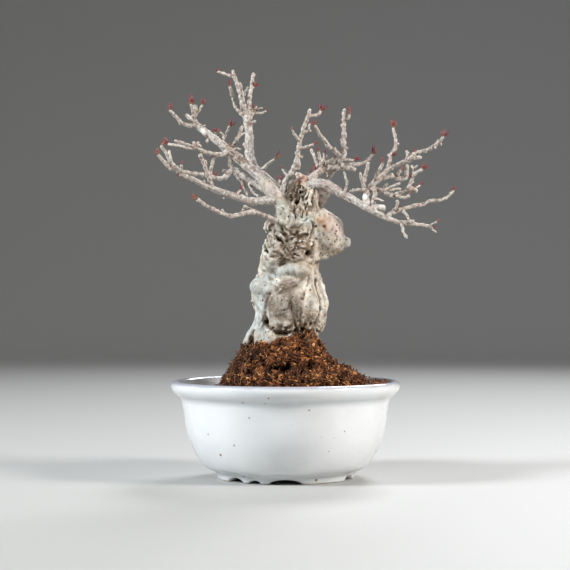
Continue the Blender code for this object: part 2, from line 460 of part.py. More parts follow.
def cut(obj, cutter):
    """Take the cutter out of obj and remove it."""
    cutter.hide_render = True
    cutter.display_type = "WIRE"
    difference = obj.modifiers.new("cut", "BOOLEAN")
    difference.operation = "DIFFERENCE"
    difference.object = cutter
    difference.solver = "EXACT"
    apply_modifiers(obj)
    remove([cutter])


def keep_largest_body(obj):
    """Drop the scraps that a cut leaves loose."""
    bm = bmesh.new()
    bm.from_mesh(obj.data)
    bmesh.ops.remove_doubles(bm, verts=bm.verts, dist=1e-6)
    left = set(bm.verts)
    bodies = []
    while left:
        body = set()
        edge_of_body = [left.pop()]
        while edge_of_body:
            vert = edge_of_body.pop()
            body.add(vert)
            for edge in vert.link_edges:
                other = edge.other_vert(vert)
                if other in left:
                    left.remove(other)
                    edge_of_body.append(other)
        bodies.append(body)
    bodies.sort(key=len)
    scraps = [vert for body in bodies[:-1] for vert in body]
    bmesh.ops.delete(bm, geom=scraps, context="VERTS")
    bm.to_mesh(obj.data)
    bm.free()


def inflated(obj, by):
    """A copy of obj that stands proud of it all round."""
    bm = bmesh.new()
    bm.from_mesh(obj.data)
    bm.normal_update()
    moves = [(vert, vert.normal * vert.calc_shell_factor() * by * MM) for vert in bm.verts]
    for vert, move in moves:
        vert.co += move
    return object_of(obj.name + "_room", bm)


def loft(rings):
    """A closed skin over rings of points, one above the other."""
    bm = bmesh.new()
    verts = [bm.verts.new(point) for point in rings[0]]
    edges = [bm.edges.new((verts[i - 1], verts[i])) for i in range(len(verts))]
    bmesh.ops.edgeloop_fill(bm, edges=edges)
    for ring in rings[1:]:
        made = set(bmesh.ops.extrude_edge_only(bm, edges=edges)["geom"])
        verts = [next(edge.other_vert(v) for edge in v.link_edges if edge.other_vert(v) in made) for v in verts]
        edges = [bm.edges.get((verts[i - 1], verts[i])) for i in range(len(verts))]
        for vert, point in zip(verts, ring):
            vert.co = point
    bmesh.ops.edgeloop_fill(bm, edges=edges)
    bmesh.ops.recalc_face_normals(bm, faces=bm.faces)
    return bm


def tube(points, radii, sides):
    """A closed round stem through the points, in metres."""
    bm = bmesh.new()
    heading = Vector((0.0, 0.0, 1.0))
    turn = heading.to_track_quat("Z", "Y")
    loops = []
    for index, (point, radius) in enumerate(zip(points, radii)):
        before = points[max(index - 1, 0)]
        after = points[min(index + 1, len(points) - 1)]
        new_heading = (after - before).normalized()
        turn = heading.rotation_difference(new_heading) @ turn
        heading = new_heading
        place = Matrix.Translation(point) @ turn.to_matrix().to_4x4()
        is_end = index in (0, len(points) - 1)
        made = bmesh.ops.create_circle(bm, cap_ends=is_end, segments=sides, radius=radius, matrix=place)
        loops.append(list({edge for vert in made["verts"] for edge in vert.link_edges}))
    for lower, upper in zip(loops, loops[1:]):
        bmesh.ops.bridge_loops(bm, edges=lower + upper)
    bmesh.ops.recalc_face_normals(bm, faces=bm.faces)
    return bm


def smooth_shaded(obj, angle):
    obj.data.shade_smooth()
    obj.data.set_sharp_from_angle(angle=math.radians(angle))


def dressed(obj, material, angle=50):
    obj.data.materials.clear()
    obj.data.materials.append(material)
    smooth_shaded(obj, angle)
    return obj


def spun(name, profile, segments):
    """Turn a closed outline of radius and height, in mm, once round the pot's axis."""
    bm = bmesh.new()
    verts = [bm.verts.new((0.0, -radius * MM, height * MM)) for radius, height in profile]
    edges = [bm.edges.new((verts[i - 1], verts[i])) for i in range(len(verts))]
    bmesh.ops.spin(
        bm,
        geom=verts + edges,
        cent=(0.0, 0.0, 0.0),
        axis=(0.0, 0.0, 1.0),
        angle=math.tau,
        steps=segments,
        use_merge=True,
    )
    bmesh.ops.remove_doubles(bm, verts=bm.verts, dist=1e-6)
    return object_of(name, bm)


def wall_radius(height):
    """The radius of the pot's inner wall at a height, both in mm."""
    for (high_radius, high), (low_radius, low) in zip(POT_INSIDE, POT_INSIDE[1:]):
        if height >= low:
            share = (height - low) / (high - low)
            return low_radius + (high_radius - low_radius) * share
    return POT_INSIDE[-1][0]


def foot_arches():
    """Cutters for the waves of the foot: flat round bars that lie across the ring."""
    bm = bmesh.new()
    for middle, half_angle, height in FOOT_ARCHES:
        half_width = FOOT_RADIUS * math.sin(math.radians(half_angle))
        place = (
            Matrix.Rotation(math.radians(middle), 4, "Z")
            @ Matrix.Translation((0.0, -(FOOT_RADIUS - 2.5) * MM, 0.0))
            @ Matrix.Diagonal((half_width * MM, ARCH_REACH * MM, height * MM, 1.0))
            @ Matrix.Rotation(math.radians(90), 4, "X")
        )
        bmesh.ops.create_cone(
            bm, cap_ends=True, segments=14, radius1=1.0, radius2=1.0, depth=2.0, matrix=place
        )
    return object_of("foot_arches", bm)


def pot():
    underside = (
        (DRAIN_RADIUS, FLOOR_TOP),
        (DRAIN_RADIUS, FLOOR_BOTTOM),
        (FOOT_INSIDE_RADIUS - 1.5, FLOOR_BOTTOM),
        (FOOT_INSIDE_RADIUS, 0.0),
    )
    obj = spun("pot", POT_OUTSIDE + POT_INSIDE + underside, POT_SEGMENTS)
    cut(obj, foot_arches())
    return dressed(obj, finish("white_glaze", (0.83, 0.86, 0.88), 0.12), 35)


def drain_net():
    """A flat net of square cells, which keeps the soil off the drain hole."""
    cell = NET_SIDE / NET_CELLS
    bm = bmesh.new()
    bmesh.ops.create_grid(bm, x_segments=NET_CELLS, y_segments=NET_CELLS, size=NET_SIDE / 2 * MM)
    bmesh.ops.inset_individual(bm, faces=list(bm.faces), thickness=cell * NET_BAR_SHARE * MM)
    half_cell = 0.5 * cell * MM
    holes = [face for face in bm.faces if face.calc_area() > half_cell * half_cell]
    bmesh.ops.delete(bm, geom=holes, context="FACES_ONLY")
    bmesh.ops.translate(bm, verts=bm.verts, vec=(0.0, 0.0, (FLOOR_TOP + GAP) * MM))
    bmesh.ops.recalc_face_normals(bm, faces=bm.faces)
    bmesh.ops.solidify(bm, geom=list(bm.faces), thickness=-NET_THICK * MM)
    return dressed(object_of("drain_net", bm), finish("dark_net", (0.03, 0.03, 0.03), 0.6))


def soil_top(across, deep):
    """The height of the soil, in mm. Under the mound it is an even slope."""
    rough = min(max((math.hypot(across, deep) - SOIL_EVEN) / 4.0, 0.0), 1.0)
    bump = noise.noise(Vector((across, deep, 3.0)) * 0.33)
    return SOIL_LEVEL + SOIL_RISE * across + SOIL_BUMPS * rough * bump


def turned(radius, angle):
    """Across and depth of a point round the pot's axis, from the front."""
    return radius * math.sin(angle), -radius * math.cos(angle)


def ring_at(radius_at, height_at, segments):
    ring = []
    for step in range(segments):
        angle = math.tau * step / segments
        across, deep = turned(radius_at(angle), angle)
        ring.append(Vector((across, deep, height_at(across, deep))) * MM)
    return ring


def soil_edge(angle):
    """The radius at which the soil's top meets the wall."""
    across, deep = turned(wall_radius(SOIL_LEVEL), angle)
    return wall_radius(soil_top(across, deep)) - ROUGH_GAP


def level_ring(radius, height):
    return ring_at(lambda angle: radius, lambda across, deep: height, POT_SEGMENTS)


def soil_ring(share):
    return ring_at(lambda angle: share * soil_edge(angle), soil_top, POT_SEGMENTS)


def soil():
    """The fill: it follows the pot's wall and floor, and stands clear of the net."""
    net_top = FLOOR_TOP + GAP + NET_THICK + GAP
    floor = FLOOR_TOP + GAP
    rings = [level_ring(NET_ROOM_RADIUS * 0.5, net_top), level_ring(NET_ROOM_RADIUS, net_top)]
    rings.append(level_ring(NET_ROOM_RADIUS + 1.0, floor))
    rings += [level_ring(radius - GAP, max(height, floor)) for radius, height in reversed(POT_INSIDE[1:])]
    rings += [soil_ring(share) for share in SOIL_RINGS]
    obj = object_of("soil", loft(rings))
    root, tip = [seen(across, up, STALK_DEPTH) for across, up in STALK]
    stalk = object_of("stalk", tube([root, tip], [STALK_RADIUS * MM] * 2, 6))
    fuse(obj, [stalk])
    return dressed(obj, finish("soil", (0.20, 0.11, 0.07), 0.9))


def reach_at(row, angle):
    """How far a row of the mound reaches at an angle from the front."""
    right, back, left, front = row
    across = math.sin(angle)
    deep = -math.cos(angle)
    side = right if across > 0 else left
    end = back if deep > 0 else front
    return side * across * across + end * deep * deep


def clump(across, deep, height):
    """The mound's lumps, in mm."""
    spot = Vector((across, deep, height))
    return MOUND_CLUMPS * (noise.noise(spot * 0.17) + 0.6 * noise.noise(spot * 0.41))


def mound_row(height, reach):
    """A level ring of the mound, with its lumps."""
    def lumpy_radius(angle):
        plain = reach_at(reach, angle)
        return plain + clump(*turned(plain, angle), height)

    return ring_at(lumpy_radius, lambda across, deep: height, MOUND_SEGMENTS)


def mound_edge(above):
    """A ring of the mound's foot that follows the soil's slope."""
    return ring_at(
        lambda angle: reach_at(MOUND_FOOT, angle),
        lambda across, deep: SOIL_LEVEL + SOIL_RISE * across + above,
        MOUND_SEGMENTS,
    )


def mound(trunk_obj):
    """The root mound, with the room that the trunk and its roots stand in."""
    rows = [mound_row(height, reach) for height, *reach in MOUND_ROWS]
    rows += [mound_edge(MOUND_EDGE), mound_edge(GAP)]
    obj = object_of("root_mound", loft(rows))
    cut(obj, inflated(trunk_obj, ROUGH_GAP))
    keep_largest_body(obj)
    return dressed(obj, finish("mound_fibre", (0.36, 0.16, 0.07), 0.95))


def seen(across, up, depth):
    """The place, in metres, of what looks to be at across, up and lies depth behind the pot's axis."""
    grow = (VIEW_AWAY + depth) / VIEW_AWAY
    return Vector((across * grow, depth, VIEW_UP + (up - VIEW_UP) * grow)) * MM


def trunk_ring(height, left, right, middle, half_depth):
    ring = []
    for step in range(TRUNK_SIDES):
        angle = math.tau * step / TRUNK_SIDES
        across = (left + right) / 2 + (right - left) / 2 * math.sin(angle)
        ring.append(Vector((across, middle - half_depth * math.cos(angle), height)) * MM)
    return ring


def add_to(bm, other):
    mesh = bpy.data.meshes.new("added")
    other.to_mesh(mesh)
    other.free()
    bm.from_mesh(mesh)
    bpy.data.meshes.remove(mesh)


def ripple(obj):
    """Give the trunk its uneven skin."""
    bm = bmesh.new()
    bm.from_mesh(obj.data)
    bm.normal_update()
    moves = []
    for vert in bm.verts:
        spot = vert.co / MM
        rough = noise.noise(spot * 0.16) + 0.5 * noise.noise(spot * 0.42)
        moves.append((vert, vert.normal * TRUNK_RIPPLE * rough * MM))
    for vert, move in moves:
        vert.co += move
    bm.to_mesh(obj.data)
    bm.free()


def trunk():
    """The trunk: a column, its swellings, strands and roots, grown together by a voxel remesh."""
    bm = loft([trunk_ring(*ring) for ring in TRUNK_RINGS])
    for across, up, depth, half_across, half_up, half_depth in TRUNK_LUMPS:
        size = Matrix.Diagonal((half_across * MM, half_depth * MM, half_up * MM, 1.0))
        place = Matrix.Translation(Vector((across, depth, up)) * MM) @ size
        bmesh.ops.create_icosphere(bm, subdivisions=3, radius=1.0, matrix=place)
    for thick, thin, route in TRUNK_STRANDS:
        points = [Vector((across, depth, up)) * MM for across, up, depth in route]
        last = len(points) - 1
        radii = [(thick + (thin - thick) * index / last) * MM for index in range(last + 1)]
        add_to(bm, tube(points, radii, 10))
    obj = object_of("trunk", bm)
    grown = obj.modifiers.new("grown together", "REMESH")
    grown.mode = "VOXEL"
    grown.voxel_size = TRUNK_VOXEL * MM
    soft = obj.modifiers.new("soft", "SMOOTH")
    soft.factor = 0.5
    soft.iterations = 4
    apply_modifiers(obj)
    ripple(obj)
    fewer = obj.modifiers.new("fewer", "DECIMATE")
    fewer.ratio = TRUNK_KEEP
    apply_modifiers(obj)
    keep_largest_body(obj)
    return dressed(obj, finish("grey_bark", (0.55, 0.50, 0.45), 0.8), 60)


def along(route):
    """How far along its route each point of a stem is, in mm."""
    runs = [0.0]
    for (across, up), (next_across, next_up) in zip(route, route[1:]):
        runs.append(runs[-1] + math.hypot(next_across - across, next_up - up))
    return runs


def nearest_depth(axis, across, up):
    return min(axis, key=lambda spot: math.hypot(spot[0] - across, spot[1] - up))[2]


def lay_out(stems, axis, depth=None):
    """Give each stem its depths. axis is a list of points on the stems so far, and grows."""
    laid = []
    for lean, thick, thin, route in stems:
        start = nearest_depth(axis, *route[0]) if depth is None else depth
        fan = TWIG_FAN if axis else 1.0
        depth = None
        runs = along(route)
        phase = route[0][0]
        points = []
        for (across, up), run in zip(route, runs):
            sway = SWAY * (math.sin(run / SWAY_RUN + phase) - math.sin(phase))
            points.append((across, up, start + fan * lean * run + sway))
        laid.append((points, thick, thin, runs))
        for one, two in zip(points, points[1:]):
            axis += [tuple(a + (b - a) * share / 4 for a, b in zip(one, two)) for share in range(5)]
    return laid


def stem_tube(stem, extra=0.0):
    points, thick, thin, runs = stem
    places = [seen(*point) for point in points]
    radii = [(thin + (thick - thin) * (1 - run / runs[-1]) ** TAPER + extra) * MM for run in runs]
    sides = 7 if thick > 2.0 else 5 if thick > 0.9 else 4
    return tube(places, radii, sides)


def bud(girth, places, axis):
    """A pointed bud or furled leaf from its root to its tip, both as seen from the front."""
    (across, up), (tip_across, tip_up) = places
    depth = nearest_depth(axis, across, up)
    root = seen(across, up, depth)
    tip = seen(tip_across, tip_up, depth)
    length = (tip - root).length
    turn = (tip - root).to_track_quat("Z", "Y").to_matrix().to_4x4()
    size = Matrix.Diagonal((girth * MM, girth * MM, length / 2, 1.0))
    bm = bmesh.new()
    place = Matrix.Translation((root + tip) / 2) @ turn @ size
    bmesh.ops.create_icosphere(bm, subdivisions=1, radius=1.0, matrix=place)
    return bm


def limb(name, stems, buds, axis, bark, depth=None, clear_of=()):
    """One limb with its twigs and buds in one body, cut clear of what it grows from."""
    laid = lay_out(stems, axis, depth)
    first, *others = [object_of(name, stem_tube(stem)) for stem in laid]
    others += [object_of(name + "_bud", bud(girth, places, axis)) for girth, places in buds]
    fuse(first, others)
    for cutter in clear_of:
        cut(first, cutter)
    keep_largest_body(first)
    dressed(first, bark, 60)
    first.name = name
    return first, laid


def tree(trunk_obj):
    """The limbs, each cut back to the gap from the trunk and from the limb that it stands on."""
    bark = finish("twig_bark", (0.50, 0.44, 0.37), 0.75)
    left = []
    right = []

    def trunk_room():
        return inflated(trunk_obj, GAP)

    def stem_room(stem):
        return object_of("stem_room", stem_tube(stem, GAP))

    left_upper, stems = limb(
        "limb_left_upper", LEFT_UPPER, LEFT_UPPER_BUDS, left, bark, -1.0, [trunk_room()]
    )
    left_base = stems[0]
    right_lower, stems = limb(
        "limb_right_lower", RIGHT_LOWER, RIGHT_LOWER_BUDS, right, bark, -2.0, [trunk_room()]
    )
    right_base, right_stub = stems[:2]
    others = (
        ("limb_left_leader", LEFT_LEADER, LEFT_LEADER_BUDS, left, None, [stem_room(left_base)]),
        ("limb_left_lower", LEFT_LOWER, LEFT_LOWER_BUDS, [], -3.0, [trunk_room(), stem_room(left_base)]),
        ("limb_lowest", LOWEST, LOWEST_BUDS, [], -11.5, [trunk_room()]),
        ("limb_centre", CENTRE, CENTRE_BUDS, [], -4.0, [trunk_room(), stem_room(left_base)]),
        ("limb_crown", CROWN, CROWN_BUDS, [], 0.5, [trunk_room(), stem_room(right_base)]),
        (
            "limb_right_upper",
            RIGHT_UPPER,
            RIGHT_UPPER_BUDS,
            right,
            None,
            [stem_room(right_base), stem_room(right_stub)],
        ),
    )
    made = [left_upper, right_lower]
    for name, stems, buds, axis, depth, clear_of in others:
        made.append(limb(name, stems, buds, axis, bark, depth, clear_of)[0])
    return made


def main():
    clear_scene()
    trunk_obj = trunk()
    pieces = [pot(), drain_net(), soil(), mound(trunk_obj), trunk_obj, *tree(trunk_obj)]
    axis = bpy.data.objects.new("pot_axis", None)
    bpy.context.scene.collection.objects.link(axis)
    axis.location = (POT_AXIS_ACROSS * MM, 0.0, 0.0)
    for piece in pieces:
        piece.parent = axis


main()
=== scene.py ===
# %% [markdown]
# # An old winterberry bonsai in a white glazed pot
# The tree was photographed bare, just as its red buds open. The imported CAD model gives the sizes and
# the place of everything: the pot, the net over its drain hole, the soil, the mound of moss and roots,
# the trunk and eight limbs. This script dresses that frame with bark, fibre, grit, buds and glaze.
# All lengths in the tables are millimetres, and MM turns them into Blender's metres.

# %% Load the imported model
import math
import random

import bmesh
import bpy
import numpy as np
from mathutils import Matrix, Vector, kdtree, noise
from mathutils.bvhtree import BVHTree


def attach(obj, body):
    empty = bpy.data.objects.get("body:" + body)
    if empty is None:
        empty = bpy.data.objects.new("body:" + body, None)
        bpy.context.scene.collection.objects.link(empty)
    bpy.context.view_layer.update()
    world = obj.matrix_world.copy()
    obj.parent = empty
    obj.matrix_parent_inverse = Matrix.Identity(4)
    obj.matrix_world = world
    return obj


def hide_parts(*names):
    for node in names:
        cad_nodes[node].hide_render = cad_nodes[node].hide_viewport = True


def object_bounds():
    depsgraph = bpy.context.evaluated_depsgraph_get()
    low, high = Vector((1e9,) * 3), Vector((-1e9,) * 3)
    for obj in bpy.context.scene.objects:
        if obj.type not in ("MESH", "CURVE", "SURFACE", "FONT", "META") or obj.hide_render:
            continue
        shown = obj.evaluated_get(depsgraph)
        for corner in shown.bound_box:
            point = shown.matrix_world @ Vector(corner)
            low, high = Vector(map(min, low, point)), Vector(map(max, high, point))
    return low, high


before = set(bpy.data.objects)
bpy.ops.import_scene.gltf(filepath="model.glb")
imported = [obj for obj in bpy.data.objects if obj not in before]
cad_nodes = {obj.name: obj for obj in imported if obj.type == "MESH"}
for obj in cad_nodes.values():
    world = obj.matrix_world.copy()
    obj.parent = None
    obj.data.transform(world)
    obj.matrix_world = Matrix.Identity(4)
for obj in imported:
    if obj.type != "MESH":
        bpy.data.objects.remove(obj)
cad_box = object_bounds()
MM = 0.001
print("CAD box in mm:", [[round(c / MM, 1) for c in corner] for corner in cad_box])

# %% [markdown]
# ## A small language for finishes
# A material is a web of nodes. Writing each Math node by hand hides the idea behind it, so Wire wraps
# one output and lets Python's own signs add the nodes: mask * 0.5 is one Multiply node. Everything that
# isn't plain arithmetic comes from Finish.node, which takes the node's type, its settings and what
# goes into its sockets. Patterns read Object coordinates, which stay put on the piece in every view.

# %% Wires
def plug(slot, value):
    """Link a wire to a slot, or set the slot's own value."""
    if isinstance(value, Wire):
        slot.id_data.links.new(value.socket, slot)
    else:
        slot.default_value = value


class Wire:
    """A node's output that takes part in Python sums."""

    def __init__(self, socket):
        self.socket = socket

    def maths(self, operation, *values):
        made = self.socket.id_data.nodes.new("ShaderNodeMath")
        made.operation = operation
        for slot, value in zip(made.inputs, values):
            plug(slot, value)
        return Wire(made.outputs[0])

    def __add__(self, other):
        return self.maths("ADD", self, other)

    def __sub__(self, other):
        return self.maths("SUBTRACT", self, other)

    def __mul__(self, other):
        return self.maths("MULTIPLY", self, other)

    __radd__ = __add__
    __rmul__ = __mul__

    def larger(self, other):
        return self.maths("MAXIMUM", self, other)


# %% [markdown]
# A Finish is a Principled material with a few patterns at hand. Clouds are noise whose patches have a
# size in mm, dots are the middles of Voronoi cells, and a step turns any number into a mask with a soft
# edge. Two colours are mixed by such a mask, and what the mesh keeps at its vertices can be one too.

# %% Finishes
DOT_CORE = 0.55


class Finish:
    """A material on Object coordinates, with the nodes that it needs most."""

    def __init__(self, name, **settings):
        self.material = bpy.data.materials.new(name)
        self.material.use_nodes = True
        self.tree = self.material.node_tree
        self.shader = self.tree.nodes["Principled BSDF"]
        for socket, value in settings.items():
            self.shader.inputs[socket.replace("_", " ")].default_value = value
        self.place = self.node("TexCoord", "Object")

    def node(self, kind, output, inputs=None, **settings):
        """Add a node, fill its inputs, and return one of its outputs."""
        made = self.tree.nodes.new("ShaderNode" + kind)
        for name, value in settings.items():
            setattr(made, name, value)
        for name, value in (inputs or {}).items():
            plug(made.inputs[name], value)
        return Wire(made.outputs[output])

    def cloud(self, size, detail=3.0, place=None):
        """Noise from 0 to 1 whose patches are about size mm wide."""
        inputs = {"Vector": place or self.place, "Scale": 1 / (size * MM), "Detail": detail}
        return self.node("TexNoise", "Fac", inputs)

    def drawn_out(self, times):
        """Object coordinates that draw a pattern out into upright streaks."""
        return self.node("Mapping", "Vector", {"Vector": self.place, "Scale": (1.0, 1.0, 1 / times)})

    def dots(self, spacing, radius):
        """Round dots at random places, a few for each spacing in mm."""
        inputs = {"Vector": self.place, "Scale": 1 / (spacing * MM)}
        near = self.node("TexVoronoi", "Distance", inputs)
        return self.step(near, radius / spacing, DOT_CORE * radius / spacing)

    def step(self, value, start, end, low=0.0, high=1.0):
        """A smooth step from low to high as value goes from start to end."""
        inputs = {"Value": value, "From Min": start, "From Max": end, "To Min": low, "To Max": high}
        return self.node("MapRange", "Result", inputs, interpolation_type="SMOOTHSTEP")

    def kept(self, name, output="Fac"):
        """What the mesh keeps under a name at each vertex."""
        return self.node("Attribute", output, attribute_name=name)

    def mix(self, factor, colour, other, blend="MIX"):
        """The first colour where the factor is 0, and the other one where it is 1."""
        made = self.tree.nodes.new("ShaderNodeMix")
        made.data_type = "RGBA"
        made.blend_type = blend
        for slot, value in ((0, factor), (6, colour), (7, other)):
            plug(made.inputs[slot], value if slot == 0 or isinstance(value, Wire) else (*value, 1.0))
        return Wire(made.outputs[2])

    def wear(self, colour, roughness=None, height=None, depth=0.1):
        """Send colour, roughness and a bump of depth mm to the shader."""
        plug(self.shader.inputs["Base Color"], colour)
        if roughness is not None:
            plug(self.shader.inputs["Roughness"], roughness)
        if height is not None:
            inputs = {"Height": height, "Distance": depth * MM, "Strength": 1.0}
            plug(self.shader.inputs["Normal"], self.node("Bump", "Normal", inputs))
        return self.material


# %% [markdown]
# ## Putting a piece on the model
# Each piece rides on the CAD body root and says which CAD node it stands for. The node stays in the
# physics model and is hidden here.

# %% Pieces
def cover(mesh, material):
    """Make the material the only one of the mesh."""
    mesh.materials.clear()
    mesh.materials.append(material)


def piece(name, mesh, material, replaces=(), smooth=True):
    mesh.name = name
    cover(mesh, material)
    if smooth:
        mesh.shade_smooth()
    obj = bpy.data.objects.new(name, mesh)
    bpy.context.scene.collection.objects.link(obj)
    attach(obj, "root")
    if replaces:
        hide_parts(*replaces)
    triangles = sum(len(face.vertices) - 2 for face in mesh.polygons)
    print(f"{name}: {triangles} triangles")


# %% [markdown]
# Shapes are made in bmesh, or by a modifier or a curve on a holder object that lives only until its
# finished mesh has been taken. The voxel remesh is the tool for anything that grew: it makes one skin
# over all that overlaps, as bark does over a fork.

# %% Meshes
def as_mesh(bm):
    """Turn a bmesh into a mesh."""
    mesh = bpy.data.meshes.new("made")
    bm.to_mesh(mesh)
    bm.free()
    return mesh


def finished(bm):
    """Turn a bmesh into a mesh whose faces point outwards."""
    bmesh.ops.recalc_face_normals(bm, faces=bm.faces)
    return as_mesh(bm)


def welded(mesh, gap):
    """A copy of the mesh in which vertices that lie closer than gap are one."""
    bm = bmesh.new()
    bm.from_mesh(mesh)
    bmesh.ops.remove_doubles(bm, verts=bm.verts, dist=gap)
    return as_mesh(bm)


def with_modifiers(mesh, *settings):
    """The mesh as a row of modifiers leaves it: each is a type and its values."""
    holder = bpy.data.objects.new("holder", mesh)
    bpy.context.scene.collection.objects.link(holder)
    for kind, values in settings:
        modifier = holder.modifiers.new(kind, kind)
        for name, value in values.items():
            setattr(modifier, name, value)
    return evaluated(holder)


def evaluated(holder):
    """An object's mesh with its modifiers or its curve's bevel applied. The object is removed."""
    graph = bpy.context.evaluated_depsgraph_get()
    made = bpy.data.meshes.new_from_object(holder.evaluated_get(graph))
    bpy.data.objects.remove(holder)
    return made


def grown_together(mesh, voxel, rounds=3):
    """Everything in the mesh as one closed skin, with its steps smoothed away."""
    remesh = ("REMESH", {"mode": "VOXEL", "voxel_size": voxel * MM})
    return with_modifiers(mesh, remesh, ("SMOOTH", {"factor": 0.5, "iterations": rounds}))

# %% [markdown]
# ## Moving the skin
# Bark, moss and grit have real relief, so it is put into the mesh and not only into a bump. The tools
# here read all vertices at once as a table of numbers, move each along its normal, and keep how deep
# it lies under its smoothed neighbourhood. Finishes read that number to paint shade into crevices,
# and highlights onto raised places.
# Blender's vector noise starts from the clock unless it gets a seed. With one set, each run of the
# script gives the same tree.

# %% Reading and moving vertices
NOISE_SEED = 5
noise.seed_set(NOISE_SEED)


def read(mesh, what):
    table = np.zeros(len(mesh.vertices) * 3, np.float32)
    mesh.vertices.foreach_get(what, table)
    return table.reshape(-1, 3).astype(float)


def places(mesh):
    return read(mesh, "co")


def outward(mesh):
    """The normal of each vertex."""
    return read(mesh, "normal")


def push_out(mesh, move):
    """Move each vertex along its normal by its own number of mm."""
    table = places(mesh) + outward(mesh) * (move * MM)[:, None]
    mesh.vertices.foreach_set("co", table.astype(np.float32).ravel())
    mesh.update()


def keep(mesh, **numbers):
    """Keep a number for each vertex, or a colour, under each name, which a finish can read."""
    for name, values in numbers.items():
        values = np.asarray(values, np.float32)
        if values.ndim == 1:
            mesh.attributes.new(name, "FLOAT", "POINT").data.foreach_set("value", values)
        else:
            colours = np.concatenate([values, np.ones((len(values), 1), np.float32)], axis=1)
            mesh.attributes.new(name, "FLOAT_COLOR", "POINT").data.foreach_set("color", colours.ravel())


# %% Hollows and noise
def hollow(mesh, rounds):
    """How far each vertex lies under the skin as it would be after rounds of smoothing, in mm."""
    ends = np.zeros(len(mesh.edges) * 2, np.int32)
    mesh.edges.foreach_get("vertices", ends)
    one, two = ends.reshape(-1, 2).T
    count = len(mesh.vertices)
    neighbours = np.maximum(np.bincount(one, minlength=count) + np.bincount(two, minlength=count), 1)
    start = places(mesh)
    soft = start.copy()
    for _ in range(rounds):
        for axis in range(3):
            near = np.bincount(one, soft[two, axis], count) + np.bincount(two, soft[one, axis], count)
            soft[:, axis] = near / neighbours
    return ((soft - start) * outward(mesh)).sum(axis=1) / MM


def roughness_at(table, size, octaves=3, seed=0.0):
    """Noise from about -1 to 1 at each place, its patches size mm wide."""
    shift = Vector((seed, 1.7 * seed, -seed))
    scale = 1 / (size * MM)
    return np.array([noise.fractal(Vector(spot) * scale + shift, 1.0, 2.0, octaves) for spot in table])


def ridges_at(table, size, octaves=4, seed=0.0):
    """Sharp-crested noise, from 0 in the valleys to about 1."""
    return np.clip(1 - 2.2 * np.abs(roughness_at(table, size, octaves, seed)), 0, 1)


# %% [markdown]
# ## Seen from the front
# The tables of the tree hold places as they look from the front: how far across from the pot's axis
# and how far up. A point that lies deeper is drawn out from the eye, so that it still looks to be
# there. The CAD model was laid out in this same way, so the dressed limbs lie on the CAD limbs.

# %% From the photograph's view to the model
VIEW_UP = 100.8
VIEW_AWAY = 914.0
POT_AXIS_ACROSS = -10.9


def seen(across, up, depth):
    grow = (VIEW_AWAY + depth) / VIEW_AWAY
    return Vector((across * grow + POT_AXIS_ACROSS, depth, VIEW_UP + (up - VIEW_UP) * grow)) * MM


def skin_tree(mesh):
    """A search tree for dropping points on a mesh."""
    mesh.calc_loop_triangles()
    return BVHTree.FromPolygons([v.co for v in mesh.vertices], [t.vertices for t in mesh.loop_triangles])


eye = seen(0, VIEW_UP, -VIEW_AWAY)


def dropped(tree, across, up):
    """Where the line of sight to across, up first meets a mesh, and the normal there."""
    spot, normal, _, _ = tree.ray_cast(eye, (seen(across, up, 0) - eye).normalized())
    return spot, normal


def view_of(table):
    """Across and up of every place in a table, as seen from the front, in mm."""
    deep = table[:, 1] / MM
    grow = (VIEW_AWAY + deep) / VIEW_AWAY
    across = (table[:, 0] / MM - POT_AXIS_ACROSS) / grow
    up = (table[:, 2] / MM - VIEW_UP) / grow + VIEW_UP
    return across, up


# %% [markdown]
# ## The pot
# A round bowl of white porcelain with a rolled lip, a soft groove below it and a foot ring cut into
# low waves. A potter throws it on a wheel, and bmesh.ops.spin does the same: it turns one outline
# round the axis. The outline's points are joined by a smooth curve first. The feet are then shaped by
# lifting the lowest rows in a wave, which keeps the mesh clean where a Boolean cut would not.

# %% The pot's outline
POT_OUTSIDE = (
    (36.0, 0.9), (36.5, 2.6), (37.4, 3.9), (42.3, 6.2), (46.8, 12.0), (50.4, 19.6), (52.3, 27.1),
    (53.5, 35.5), (54.4, 40.4), (55.2, 42.1), (57.3, 43.8), (59.4, 46.3), (60.0, 48.9), (59.3, 50.2),
    (57.8, 50.8), (56.3, 50.2), (54.9, 47.5), (51.0, 41.5), (49.2, 34.0), (47.6, 26.0), (45.4, 19.0),
    (41.0, 12.5), (34.0, 8.2),
)
POT_UNDERSIDE = (
    (31.0, 8.0), (7.2, 8.0), (6.6, 7.4), (6.5, 4.0), (7.1, 3.4), (28.6, 3.4), (29.4, 3.0), (30.4, 0.8),
    (31.0, 0.1), (32.0, 0.0), (34.8, 0.0), (35.6, 0.15),
)
FOOT_ARCHES = (
    (-46, 9.0, 2.4), (-26, 6.0, 1.7), (0, 14.0, 2.4), (67, 9.0, 2.4), (97, 7.0, 1.8), (132, 11.0, 2.4),
    (168, 8.0, 2.0), (205, 13.0, 2.4), (240, 7.0, 1.7), (272, 10.0, 2.3),
)
ARCH_SHAPE = 0.6
print("points of the outline:", len(POT_OUTSIDE + POT_UNDERSIDE), "and arches:", len(FOOT_ARCHES))


# %% Curves and arches
def flowing(points, step):
    """More points, step apart, on a smooth curve through the given ones."""
    ends = [points[0] * 2 - points[1], *points, points[-1] * 2 - points[-2]]
    curve = []
    for before, start, end, after in zip(ends, ends[1:], ends[2:], ends[3:]):
        count = max(1, round((end - start).to_3d().length / step))
        for index in range(count):
            t = index / count
            bend = (2 * before - 5 * start + 4 * end - after) * t * t
            twist = (3 * start - before - 3 * end + after) * t * t * t
            curve.append(0.5 * (2 * start + (end - before) * t + bend + twist))
    curve.append(points[-1])
    return curve


